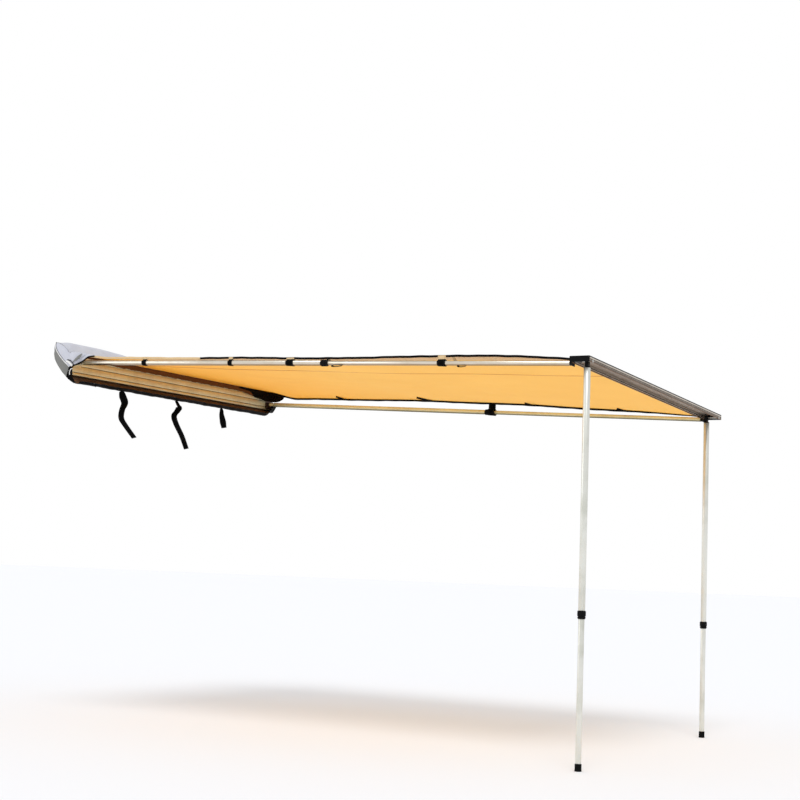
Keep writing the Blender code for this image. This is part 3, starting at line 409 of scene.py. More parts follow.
# Clear anodised drawn tube: pale and bright, with painted shade in dull brown on an arm's underside
SILVER_ARM = DrawnMetal("clear_anodised_arm_tube", "#f0e8da", 0.30, drawn=Drawn.ALONG_X, worn="#c4b698",
                        under="#8f7450")
SILVER_LEG = DrawnMetal("clear_anodised_leg_tube", "#e9e9e2", 0.36, 0.75, drawn=Drawn.ALONG_Z, worn="#b9bbac")
# The far arm's tube: the arm's metal painted warmer and made duller, a painted reflection of the canopy, with
# painted shade below
FAR_ARM_PAINTED_LIGHT = DrawnMetal("far_arm_tube_painted_reflection_and_shade", "#f2eabc", 0.48, 0.30, drawn=Drawn.ALONG_X, worn="#bdb180",
                      under="#403718")
# The hinge bracket at the rail's far end, the same part as the near one, in a dull dark brown that is painted
# shade
FAR_BRACKET_SHADE = DrawnMetal("far_bracket_painted_shade", "#5c4236", 0.50, 0.7, drawn=Drawn.ALONG_X, worn="#3a2a22")
# Taupe anodised extrusion: greyer and duller than the rail
TAUPE = DrawnMetal("taupe_anodised_aluminium", "#a99b8c", 0.44, drawn=Drawn.ALONG_Y, worn="#85786a")
# Painted shade in an extrusion's grooves, with oxide and dust: matt dark lines
GROOVE_SHADE = Finish("groove_shade_and_oxide", "#4a3a2c", 0.7)
BEAM_GROOVE_SHADE = Finish("beam_groove_shade_and_oxide", "#2b2726", 0.7)
# Matt black band along the top of the beam's outer face
BEAM_TOP_BLACK = Finish("black_beam_top_band", "#0c0c0c", 0.7)
# Raised bead under the black band, lighter as a painted highlight, and the foot of the beam's face, brown
BEAM_BEAD_HIGHLIGHT = DrawnMetal("beam_bead_painted_highlight", "#dcd2c4", 0.35, drawn=Drawn.ALONG_Y, worn="#a79e95")
BEAM_FOOT = DrawnMetal("brown_beam_foot", "#7c5a3c", 0.45, drawn=Drawn.ALONG_Y, worn="#5c432c")
# Bright zinc plate on turned steel: a cool light grey, fairly shiny
ZINC = DrawnMetal("bright_zinc_plate", "#c9c9c4", 0.32, drawn=Drawn.ALONG_X, worn="#8f8f88")
# Die-cast zinc, blackened, with its edges rubbed grey
DARK_ZINC = DrawnMetal("blackened_zinc_slider", "#2e2c2a", 0.45, drawn=Drawn.ALONG_Y, worn="#5a5855")
# Black powder coat on bent steel plate: an orange-peel skin
POWDER = MouldedPlastic("black_powder_coat", "#161617", 0.42, grain=420.0)
# Moulded black nylon: dull with a fine grain
NYLON = MouldedPlastic("moulded_black_nylon", "#070708", 0.46)
# Moulded rubber: duller still, with a coarser skin
RUBBER = MouldedPlastic("moulded_black_rubber", "#080809", 0.78, relief=0.0002)
# Polyoxymethylene zip teeth: a row of small dark glints
ZIP_TEETH = MouldedPlastic("moulded_zip_teeth", "#1a1a1b", 0.35)
# PVC-coated bag cloth: black below, silver grey with a soft gloss on the cover
BLACK_PVC = CoatedCloth("black_coated_bag_cloth", "#080707", 0.55, dust="#0e0c0b", gloss=0.0, gleam=0.03)
GREY_PVC = CoatedCloth("silver_grey_coated_bag_cloth", "#c6c8d2", 0.52, dust="#9a9ca8")
# The same grey cloth made darker as painted shade, on the near end panel and on the strip along the gusset's
# crease
SHADED_GREY_PVC = CoatedCloth("grey_bag_cloth_painted_shade", "#74746f", 0.55, dust="#6a6b70")
# Inner side of the bag cloth, without a coat: brown, dusty and matt
LINING = CoatedCloth("dusty_bag_lining", "#5c4636", 0.80, dust="#77604c", gloss=0.0, gleam=0.05)
# Lining at the canopy's root: brown where it lies on the rail, nearly black where it bunches, colours that are
# partly painted shade
BROWN_WELT_AND_SHADE = CoatedCloth("brown_root_lining_and_shade", "#5e3818", 0.80, dust="#74502c", gloss=0.0, gleam=0.1)
DARK_WELT_AND_SHADE = CoatedCloth("dark_welt_and_shade", "#0e0a07", 0.80, dust="#20150d", gloss=0.0, gleam=0.06)
# Sand canvas that glows orange with light behind it
CANVAS = Canvas("sand_ripstop_canvas", "#ffdc88", 0.85)
# The same cloth, doubled under the near edge, so that less light comes through; its paler colour and glow are
# painted light
FACING = Canvas("doubled_canvas_painted_paler", "#f0d4a6", 0.85, glow="#f2c888", root="#f0d4a6", root_painted_glow="#f2c888",
                share=0.28)
# Polyester binding and hook and loop tape: matt black
BINDING = Webbing("black_binding_tape", "#080707", 0.80)
HOOK_TAPE = Webbing("black_hook_and_loop_tape", "#070708", 0.88)
# Polyester tape over the felled seam, a shade browner than the cloth
SEAM_TAPE = Webbing("sand_seam_tape", "#d9a462", 0.85, rib=0.004, stitch="#b57a3a")
# Loops of the facing's cloth that carry the ties: pale tan
LOOP_TAPE = Webbing("tan_loop_tape", "#dcc094", 0.85, rib=0.004, stitch="#a88a5c")
# Cord in coated cloth: smooth and white as piping, creamier in the canopy's beaded ends
WHITE_PIPING = Finish("white_piping", "#e6e5e2", 0.55)
CORD = Finish("keder_cord", "#d8d4c8", 0.7)


# Surfaces


@dataclass
class Skin:
    """Points and faces of a mesh, with a flat map in metres where a weave follows the piece."""

    points: np.ndarray
    faces: list[np.ndarray]
    flat: np.ndarray | None = None

    def __add__(self, other: "Skin") -> "Skin":
        """Join two skins into one mesh, each with its own points.

        Args:
            other: the second skin.

        Returns:
            The joined skin, with a map where both have one.
        """
        mapped = self.flat is not None and other.flat is not None
        flat = np.concatenate((self.flat, other.flat)) if mapped else None
        faces = self.faces + [block + len(self.points) for block in other.faces]
        return Skin(np.concatenate((self.points, other.points)), faces, flat)


def loft(rings: np.ndarray, round_ring: bool = True, round_path: bool = False, ends: bool = True,
         flat: np.ndarray | None = None) -> Skin:
    """Skin over a grid of points: ring i, point j is joined to its neighbours by one quad each.

    Args:
        rings: points, rings by points by 3.
        round_ring: the last point of a ring joins its first.
        round_path: the last ring joins the first.
        ends: the first and last ring are closed by one face each.
        flat: a map coordinate for each point, rings by points by 2.

    Returns:
        The skin.
    """
    count, size = rings.shape[:2]
    row = np.arange(count if round_path else count - 1)[:, None]
    column = np.arange(size if round_ring else size - 1)[None, :]
    after_row, after_column = (row + 1) % count, (column + 1) % size
    quads = np.stack((row * size + column, row * size + after_column,
                      after_row * size + after_column, after_row * size + column), -1).reshape(-1, 4)
    faces = [quads]
    if ends and not round_path:
        faces += [np.arange(size)[None, ::-1], (np.arange(size) + (count - 1) * size)[None, :]]
    return Skin(rings.reshape(-1, 3), faces, None if flat is None else flat.reshape(-1, 2))


def open_sheet(grid: np.ndarray, flat: np.ndarray) -> Skin:
    """Skin over a grid whose four edges stay free, with its flat map."""
    return loft(grid, False, False, False, flat)


def rounded(corners: ArrayLike, radius: float, closed: bool = True, steps: int = 3) -> np.ndarray:
    """Round a polyline: each corner P becomes the curve (1-t)^2 A + 2t(1-t) P + t^2 B.

    A and B lie on the two sides that meet in P, at the radius from it or at 45% of a shorter side.

    Args:
        corners: points, n by 2 or n by 3.
        radius: distance of A and B from the corner, in metres.
        closed: the line joins its own start.
        steps: pieces of each curve.

    Returns:
        The rounded points.
    """
    corners = np.asarray(corners, float)
    back = np.roll(corners, 1, 0) - corners
    on = np.roll(corners, -1, 0) - corners
    back_length = np.linalg.norm(back, axis=1, keepdims=True)
    on_length = np.linalg.norm(on, axis=1, keepdims=True)
    a = corners + back / back_length * np.minimum(radius, 0.45 * back_length)
    b = corners + on / on_length * np.minimum(radius, 0.45 * on_length)
    if not closed:
        a[0], b[0], a[-1], b[-1] = corners[0], corners[0], corners[-1], corners[-1]
    t = np.linspace(0, 1, steps + 1)[None, :, None]
    curve = (1 - t) ** 2 * a[:, None] + 2 * t * (1 - t) * corners[:, None] + t ** 2 * b[:, None]
    curve = curve.reshape(-1, corners.shape[1])
    keep = np.r_[True, np.linalg.norm(np.diff(curve, axis=0), axis=1) > 1e-7]
    return curve[keep]


def spline(points: ArrayLike, count: int) -> np.ndarray:
    """Smooth path through points: Catmull-Rom, the cubic whose slope at a point is half of its neighbours' span.

    Args:
        points: the points, n by 3.
        count: points of the path.

    Returns:
        The path, count by 3.
    """
    points = np.asarray(points, float)
    wide = np.concatenate((2 * points[:1] - points[1:2], points, 2 * points[-1:] - points[-2:-1]))
    place = np.linspace(0, len(points) - 1, count)
    index = np.minimum(place.astype(int), len(points) - 2)
    t = (place - index)[:, None]
    p0, p1, p2, p3 = (wide[index + k] for k in range(4))
    return 0.5 * (2 * p1 + (p2 - p0) * t + (2 * p0 - 5 * p1 + 4 * p2 - p3) * t ** 2
                  + (3 * p1 - p0 - 3 * p2 + p3) * t ** 3)


def keder_ring(x: float, z: float, facing: float) -> np.ndarray:
    """Section of a groove for a beaded edge: a circle that is open at its mouth.

    Half the mouth over the radius is the sine of half the opening's angle.

    Args:
        x: the circle's middle.
        z: its height.
        facing: direction of the mouth, as an angle from X.

    Returns:
        Points from one lip of the mouth round to the other, n by 2.
    """
    opening = math.asin(KEDER_MOUTH / KEDER_RADIUS)
    angle = facing + np.linspace(opening, 2 * math.pi - opening, 15)
    return np.stack((x + KEDER_RADIUS * np.cos(angle), z + KEDER_RADIUS * np.sin(angle)), -1)


def lengths(path: np.ndarray) -> np.ndarray:
    """Distance along a path at each of its points."""
    return np.r_[0.0, np.cumsum(np.linalg.norm(np.diff(path, axis=0), axis=1))]


def turned(profile: np.ndarray, origin: np.ndarray, along: np.ndarray, sides: int = 48, ribs: int = 0,
           relief: float = 0.0, ribbed: tuple[float, float] = (0.0, 0.0), hollow: bool = False) -> Skin:
    """Profile of (distance, radius) spun about a line: point = origin + d along + r (cos a, sin a).

    Grip ribs add relief * max(0, cos(ribs a))^0.5 to the radius where the distance is in the ribbed span.

    Args:
        profile: distance along the line and radius, n by 2.
        origin: start of the line.
        along: direction of the line, of length 1.
        sides: points around it.
        ribs: number of grip ribs.
        relief: height of a rib.
        ribbed: distances between which the ribs stand.
        hollow: the profile's end joins its start, as in a tube's wall.

    Returns:
        The skin, closed at both ends unless hollow.
    """
    helper = ALONG if abs(along[1]) < 0.9 else OUT
    across = np.cross(along, helper)
    across /= np.linalg.norm(across)
    third = np.cross(along, across)
    angle = np.linspace(0, 2 * math.pi, sides, endpoint=False)
    ring = np.cos(angle)[:, None] * across + np.sin(angle)[:, None] * third
    radius = np.repeat(profile[:, 1:2], sides, 1)
    if ribs:
        inside = (profile[:, 0] >= ribbed[0]) & (profile[:, 0] <= ribbed[1]) & (profile[:, 1] > 0)
        radius = radius + inside[:, None] * relief * np.sqrt(np.maximum(0, np.cos(ribs * angle)))[None, :]
    rings = origin + profile[:, 0, None, None] * along + radius[:, :, None] * ring[None, :, :]
    return loft(rings, True, hollow, not hollow)


def pushed(outline: np.ndarray, stations: np.ndarray, frame: np.ndarray | None = None,
           inset: np.ndarray | None = None) -> Skin:
    """Closed XZ outline pushed along Y, or along a tilted frame's Y.

    Args:
        outline: x and z, n by 2.
        stations: places along Y, m values.
        frame: 4 by 4 matrix from the outline's frame to rail coordinates.
        inset: share by which each station's outline shrinks towards its middle.

    Returns:
        The closed skin.
    """
    middle = (outline.min(0) + outline.max(0)) / 2
    share = 1 - (np.zeros(len(stations)) if inset is None else inset)
    flat = middle + (outline - middle)[None] * share[:, None, None]
    rings = np.stack((flat[..., 0], np.broadcast_to(stations[:, None], flat.shape[:2]), flat[..., 1]), -1)
    if frame is not None:
        rings = rings @ frame[:3, :3].T + frame[:3, 3]
    return loft(rings)


def carried(path: np.ndarray, across: np.ndarray, width: float, thickness: float, corner: float = 0.35,
            taper: np.ndarray | None = None) -> Skin:
    """Flat tape: a rounded rectangle carried along a path, its width along the given directions.

    Args:
        path: centre line, n by 3.
        across: direction of the width at each point, n by 3 or 3 values.
        width: width of the tape.
        thickness: its thickness.
        corner: share of the thickness that is rounded at each edge.
        taper: share of the width at each point.

    Returns:
        The closed skin, with a map of distance along and 0 to 1 across.
    """
    tangent = np.gradient(path, axis=0)
    tangent /= np.linalg.norm(tangent, axis=1, keepdims=True)
    side = np.broadcast_to(across, path.shape)
    side = side - (side * tangent).sum(1, keepdims=True) * tangent
    side = side / np.linalg.norm(side, axis=1, keepdims=True)
    normal = np.cross(tangent, side)
    w, h = width / 2, thickness / 2
    box = rounded(((-w, -h), (w, -h), (w, h), (-w, h)), thickness * corner, True, 2)
    share = np.ones(len(path)) if taper is None else taper
    rings = (path[:, None] + side[:, None] * (box[None, :, :1] * share[:, None, None])
             + normal[:, None] * box[None, :, 1:])
    flat = np.stack(np.broadcast_arrays(lengths(path)[:, None], box[None, :, 0] / width + 0.5), -1)
    return loft(rings, flat=flat)


def cord_skin(path: np.ndarray, radius: float, sides: int = 10) -> Skin:
    """Round cord carried along a path: each ring is a circle square to the path.

    Args:
        path: centre line, n by 3.
        radius: its radius.
        sides: points around it.

    Returns:
        The closed skin.
    """
    tangent = np.gradient(path, axis=0)
    tangent /= np.linalg.norm(tangent, axis=1, keepdims=True)
    helper = np.where(np.abs(tangent[:, 1:2]) < 0.9, ALONG, OUT)
    one = np.cross(tangent, helper)
    one /= np.linalg.norm(one, axis=1, keepdims=True)
    two = np.cross(tangent, one)
    angle = np.linspace(0, 2 * math.pi, sides, endpoint=False)
    rings = (path[:, None] + radius * (np.cos(angle)[None, :, None] * one[:, None]
                                       + np.sin(angle)[None, :, None] * two[:, None]))
    return loft(rings)


def dome(start: float, height: float, radius: float, steps: int = 5) -> np.ndarray:
    """Profile of a low dome, a quarter of an ellipse: (start + height sin a, radius cos a)."""
    a = np.linspace(0, math.pi / 2, steps)
    return np.stack((start + height * np.sin(a), radius * np.cos(a)), -1)


def repeated(shape: Skin, places: np.ndarray) -> Skin:
    """Copies of one small shape, one at each place, computed as one array.

    Args:
        shape: the shape, about its own origin.
        places: where the copies stand, n by 3.

    Returns:
        One skin of all the copies.
    """
    count = len(shape.points)
    points = (shape.points[None] + places[:, None]).reshape(-1, 3)
    shift = (np.arange(len(places)) * count)[:, None, None]
    faces = [(f[None] + shift).reshape(-1, f.shape[1]) for f in shape.faces]
    return Skin(points, faces)


@dataclass
class Workshop:
    """Makes objects from skins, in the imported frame's own coordinates, and hands them to their bodies."""

    frame: dict
    datum: np.ndarray
    made: list[bpy.types.Object] = field(default_factory=list)

    def piece(self, name: str, skin: Skin, finish: Finish, body: str, slot: str, nodes: tuple[str, ...] = (),
              smooth: float = 40.0, wall: float = 0.0) -> bpy.types.Object:
        """Make one piece of the awning.

        Args:
            name: the piece's name.
            skin: its surface in rail coordinates.
            finish: its finish.
            body: the CAD body that it rides on.
            slot: the record's material slot; not used.
            nodes: CAD nodes that it stands for.
            smooth: faces that meet at less than this angle in degrees are shaded as one.
            wall: thickness given to an open sheet.

        Returns:
            The object.
        """
        mesh = bpy.data.meshes.new(name)
        faces = [row for block in skin.faces for row in block.tolist()]
        mesh.from_pydata((skin.points + self.datum).tolist(), [], faces)
        if skin.flat is not None:
            corners = np.zeros(len(mesh.loops), np.int32)
            mesh.loops.foreach_get("vertex_index", corners)
            mesh.uv_layers.new(name="Flat").data.foreach_set("uv", skin.flat[corners].astype(np.float32).ravel())
        work = bmesh.new()
        work.from_mesh(mesh)
        bmesh.ops.remove_doubles(work, verts=work.verts, dist=1e-6)
        bmesh.ops.recalc_face_normals(work, faces=work.faces)
        work.to_mesh(mesh)
        work.free()
        mesh.shade_smooth()
        mesh.set_sharp_from_angle(angle=math.radians(smooth))
        item = bpy.data.objects.new(name, mesh)
        bpy.context.scene.collection.objects.link(item)
        mesh.materials.append(finish.build())
        if wall:
            solid = item.modifiers.new("cloth_thickness", "SOLIDIFY")
            solid.thickness = wall
            solid.offset = 0.0
        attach(item, body)
        if nodes:
            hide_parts(*nodes)
        self.made.append(item)
        LOG.info("%s: %d faces on %s", name, len(mesh.polygons), body)
        return item

    def accent(self, item: bpy.types.Object, finish: Finish, chosen: np.ndarray) -> None:
        """Give some faces of a piece another finish.

        Args:
            item: the piece.
            finish: the other finish.
            chosen: one truth value for each face.
        """
        item.data.materials.append(finish.build())
        index = np.zeros(len(chosen), np.int32)
        item.data.polygons.foreach_get("material_index", index)
        index[chosen] = len(item.data.materials) - 1
        item.data.polygons.foreach_set("material_index", index)

    def centres(self, item: bpy.types.Object) -> np.ndarray:
        """Find the centre of each face of a piece.

        Args:
            item: the piece.

        Returns:
            The centres in rail coordinates, n by 3.
        """
        found = np.zeros(len(item.data.polygons) * 3, np.float32)
        item.data.polygons.foreach_get("center", found)
        return found.reshape(-1, 3) - self.datum

    @staticmethod
    def line(item: bpy.types.Object, finish: Finish) -> None:
        """Give the inner side of a sheet with thickness another finish."""
        item.data.materials.append(finish.build())
        item.modifiers["cloth_thickness"].material_offset = 1

    def refinish(self, finish: Finish, *names: str) -> None:
        """Give CAD nodes that keep their own shape a finish, through their objects' slots.

        Args:
            finish: the finish.
            names: the nodes' names.
        """
        for name in names:
            item = self.frame["nodes"][name]
            for held in item.material_slots:
                held.link = "OBJECT"
                held.material = finish.build()


# The awning


@dataclass
class Layout:
    """Driving sizes of the awning, the same as in the part's source, and the canopy's surface."""

    rail_length: float = 2.0
    rail_depth: float = 0.022
    rail_height: float = 0.125
    arm_length: float = 2.95
    arm_side: float = 0.965
    pivot_reach: float = 0.045
    arm_heights: dict[Side, float] = field(default_factory=lambda: {Side.NEAR: 0.008, Side.FAR: -0.030})
    beam_width: float = 0.100
    beam_height: float = 0.028
    beam_top_middle: float = -0.093
    beam_tilt: float = math.radians(2.47)
    tip_drop: float = 0.029
    leg_side: float = 0.955
    leg_lane: float = 0.0225
    leg_drop: float = 0.0205
    ground: float = -1.949
    rail_keder_height: float = 0.0565
    beam_keder_drop: float = 0.009
    edge_drop: dict[Side, float] = field(default_factory=lambda: {Side.NEAR: 0.0205, Side.FAR: 0.0435})
    edge_lift: dict[Side, float] = field(default_factory=lambda: {Side.NEAR: 0.014, Side.FAR: 0.022})
    lift_start: dict[Side, float] = field(default_factory=lambda: {Side.NEAR: 0.62, Side.FAR: 0.0})
    sag: float = 0.012
    scallop: float = 0.0030
    pull: float = 0.0080
    root_ease: float = 0.08

    def beam_top(self, y: np.ndarray | float) -> np.ndarray | float:
        """Height of the tilted beam's top at a place along the rail."""
        return self.beam_top_middle - math.tan(self.beam_tilt) * y

    def slope(self, side: Side) -> float:
        """Angle of an arm below the level: the sine is its drop over its length."""
        tip = self.beam_top(side.sign * self.arm_side) - self.tip_drop
        return math.asin((self.arm_heights[side] - tip) / self.arm_length)

    @property
    def beam_inner(self) -> float:
        """Inner face of the beam."""
        return self.pivot_reach + self.arm_length * math.cos(self.slope(Side.NEAR)) + GAP

    @property
    def beam_frame(self) -> np.ndarray:
        """Matrix from the beam's frame, at the middle of its top, to rail coordinates.

        Returns:
            The matrix, 4 by 4.
        """
        turn = Matrix.Rotation(-self.beam_tilt, 4, "X")
        place = Matrix.Translation((self.beam_inner + self.beam_width / 2, 0, self.beam_top_middle))
        return np.array(place @ turn)

    def arm_origin(self, side: Side) -> np.ndarray:
        """Pivot of an arm."""
        return np.array((self.pivot_reach, side.sign * self.arm_side, self.arm_heights[side]))

    def arm_along(self, side: Side) -> np.ndarray:
        """Direction of an arm from its pivot to its tip."""
        angle = self.slope(side)
        return np.array((math.cos(angle), 0.0, -math.sin(angle)))

    def leg_origin(self, side: Side) -> np.ndarray:
        """Pivot of a leg.

        Args:
            side: its end of the beam.

        Returns:
            The pivot in rail coordinates.
        """
        y = side.sign * self.leg_side / math.cos(self.beam_tilt)
        local = np.array((-side.sign * self.leg_lane, y, -self.leg_drop, 1.0))
        return (self.beam_frame @ local)[:3]

    def cloth(self, u: np.ndarray, v: np.ndarray) -> np.ndarray:
        """Stretched canopy: a straight line from rail to beam, less the edges' drop to the arms, less the sag.

        The drop eases in from the rail and fades with (1 - u)^1.6. Each edge is lifted again by
        lift * sin(pi t), where t runs from 0 at the lift's start to 1 at the beam. Small waves along the
        edges stand for the pull of the stitching.

        Args:
            u: 0 at the rail to 1 at the beam.
            v: -1 at the near edge to 1 at the far one.

        Returns:
            Points in rail coordinates.
        """
        start_x, end_x = self.rail_depth + 2 * GAP, self.beam_inner - 2 * GAP - 0.0003
        y = v * self.arm_side
        end = self.beam_top(y) - self.beam_keder_drop / math.cos(self.beam_tilt)
        drop = np.where(v < 0, self.edge_drop[Side.NEAR], self.edge_drop[Side.FAR])
        step = np.clip(u / self.root_ease, 0, 1)
        low = drop * (1 - u) ** 1.6 * step * step * (3 - 2 * step)
        begin = np.where(v < 0, self.lift_start[Side.NEAR], self.lift_start[Side.FAR])
        height = np.where(v < 0, self.edge_lift[Side.NEAR], self.edge_lift[Side.FAR])
        lift = height * np.sin(np.pi * np.clip((u - begin) / (1 - begin), 0, 1))
        edge = (low - lift) * np.abs(v) ** 3
        sag = self.sag * np.sin(np.pi * u) * (1 - v * v)
        scallop = self.scallop * v ** 6 * np.sin(4 * np.pi * u) ** 2
        pull = self.pull * np.sin(6 * np.pi * u) * v * v * (1 - v * v)
        z = self.rail_keder_height + (end - self.rail_keder_height) * u - edge - sag + scallop + pull
        return np.stack((start_x + (end_x - start_x) * u, y, z), -1)


@dataclass
class BaseRail:
    """Champagne extrusion with its rivets, end caps, brackets, bolts and nuts."""

    layout: Layout
    shop: Workshop
    groove_heights: tuple[float, ...] = (0.024, -0.0095, -0.046)
    groove_width: float = 0.0034
    groove_depth: float = 0.0012
    rivet_radius: float = 0.0032
    rivet_height: float = 0.0013
    brackets: dict[str, float] = field(default_factory=lambda: {"near": -0.8, "middle": 0.0, "far": 0.8})
    bracket_face: float = -0.0018
    plate: float = 0.005

    def outline(self) -> np.ndarray:
        """Section of the rail, with its T-slot behind, and a keder groove and face grooves in front.

        Returns:
            The section's corners, x and z.
        """
        d, h = self.layout.rail_depth, self.layout.rail_height / 2
        points = [(0, -h), (0, -0.0045), (0.0025, -0.0045), (0.0025, -0.0075), (0.009, -0.0075), (0.009, 0.0075),
                  (0.0025, 0.0075), (0.0025, 0.0045), (0, 0.0045), (0, h), (d, h)]
        keder = h - 0.006
        ring = keder_ring(d - 0.006, keder, 0.0)
        points += [(d, keder + KEDER_MOUTH), *map(tuple, ring), (d, keder - KEDER_MOUTH)]
        for z in self.groove_heights:
            top, low, floor = z + self.groove_width / 2, z - self.groove_width / 2, d - self.groove_depth
            points += [(d, top), (floor, top), (floor, low), (d, low)]
        points += [(d, 0.0125 - h), (d + 0.0025, 0.0115 - h), (d + 0.0025, -h)]
        return np.array(points)

    def build(self) -> None:
        """Build the rail and everything that is fixed to it."""
        half = self.layout.rail_length / 2
        section = rounded(self.outline(), 0.0004, True, 2)
        rail = self.shop.piece("rail_extrusion", pushed(section, np.array((-half, half))), CHAMPAGNE, "base",
                               "champagne_aluminium", ("base_rail",), 30)
        middle = self.shop.centres(rail)
        face = self.layout.rail_depth
        floor = (middle[:, 0] > face - self.groove_depth - 0.0003) & (middle[:, 0] < face - 0.0001)
        # Painted shade, with oxide, on the floors of the two lower grooves
        self.shop.accent(rail, GROOVE_SHADE, floor & (middle[:, 2] < 0.01))
        self.rivets()
        for side in Side:
            self.end_cap(side)
        self.fasteners()
        self.shop.refinish(POWDER, *(f"mounting_bracket_{name}" for name in self.brackets))
        self.shop.refinish(CORD, "canopy_keder_rail", "canopy_keder_beam")

    def rivets(self) -> None:
        """Domed rivet heads in two rows, each a dome spun about X."""
        head = turned(dome(0.0, self.rivet_height, self.rivet_radius), np.zeros(3), OUT, 12)
        upper = np.arange(-0.83, 0.9, 0.27)
        lower = np.arange(-0.92, 0.95, 0.46)
        y = np.r_[upper, lower]
        z = np.r_[np.full(len(upper), 0.010), np.full(len(lower), -0.020)]
        places = np.stack((np.full(len(y), self.layout.rail_depth + 0.0001), y, z), -1)
        self.shop.piece("rail_rivets", repeated(head, places), ZINC, "base", "zinc_steel", (), 60)

    def end_cap(self, side: Side) -> None:
        """Moulded plate with softened edges and two screw heads over one end of the rail.

        Args:
            side: the end.
        """
        half, depth, h = self.layout.rail_length / 2, self.layout.rail_depth, self.layout.rail_height / 2
        box = rounded(((0, -h), (depth, -h), (depth, h), (0, h)), 0.002)
        reach = half + np.array((GAP, 0.0012, 0.0028, 0.0037, 0.004))
        skin = pushed(box, side.sign * reach, None, np.array((0.0, 0.0, 0.0, 0.03, 0.10)))
        screw = dome(0.0, 0.0012, 0.0036, 4)
        for z in (-0.03, 0.03):
            place = np.array((depth / 2, side.sign * (half + 0.0038), z))
            skin = skin + turned(screw, place, side.sign * ALONG, 16)
        self.shop.piece(f"rail_cap_{side.value}", skin, NYLON, "base", "black_plastic",
                        (f"rail_end_cap_{side.value}",))

    @staticmethod
    def hexagon(start: float, end: float, across: float, place: np.ndarray, bore: float) -> Skin:
        """Hexagonal prism along X: radius = half the flats / cos(angle from a flat), edges turned off.

        Args:
            start: x of its first face.
            end: x of its last face.
            across: distance between its flats.
            place: its middle line's start.
            bore: radius of its hole.

        Returns:
            The skin.
        """
        angle = np.linspace(0, 2 * math.pi, 48, endpoint=False)
        radius = across / 2 / np.cos((angle + math.pi / 6) % (math.pi / 3) - math.pi / 6)
        x = np.array((start, start, start + 0.0006, end - 0.0010, end, end))
        share = np.array((0.0, 0.94, 1.0, 1.0, 0.90, 0.0))
        r = bore + (radius[None] - bore) * share[:, None]
        rings = np.stack((np.broadcast_to(x[:, None], r.shape), r * np.cos(angle), r * np.sin(angle)), -1)
        return loft(rings + place, True, bore > 0, bore <= 0)

    def fasteners(self) -> None:
        """Flange nut and bolt end behind each bracket: coarse thread rings on the bolt's tail."""
        back = self.bracket_face - self.plate
        for name, y in self.brackets.items():
            place = np.array((0.0, y, 0.0))
            thread = np.arange(0, 0.011, 0.0005)
            tail = np.stack((back - 0.011 + thread, 0.0037 + 0.0003 * (np.arange(len(thread)) % 2)), -1)
            shank = np.array(((0.0028, 0.004), (0.0028, 0.0068), (0.0077, 0.0068), (0.0081, 0.0064)))
            bolt = turned(np.concatenate((tail, shank)), place, OUT, 32)
            self.shop.piece(f"track_bolt_{name}", bolt, ZINC, "base", "zinc_steel", (f"bracket_bolt_{name}",), 50)
            collar = np.array(((back - GAP, 0.0044), (back - GAP, 0.0094), (back - 0.0012, 0.0097),
                               (back - 0.0022, 0.0080), (back - 0.0022, 0.0044)))
            nut = turned(collar, place, OUT, 36, hollow=True)
            nut = nut + self.hexagon(back - 0.0082, back - 0.0021, 0.0130, place, 0.0044)
            self.shop.piece(f"flange_nut_{name}", nut, ZINC, "base", "zinc_steel", (f"bracket_nut_{name}",), 30)


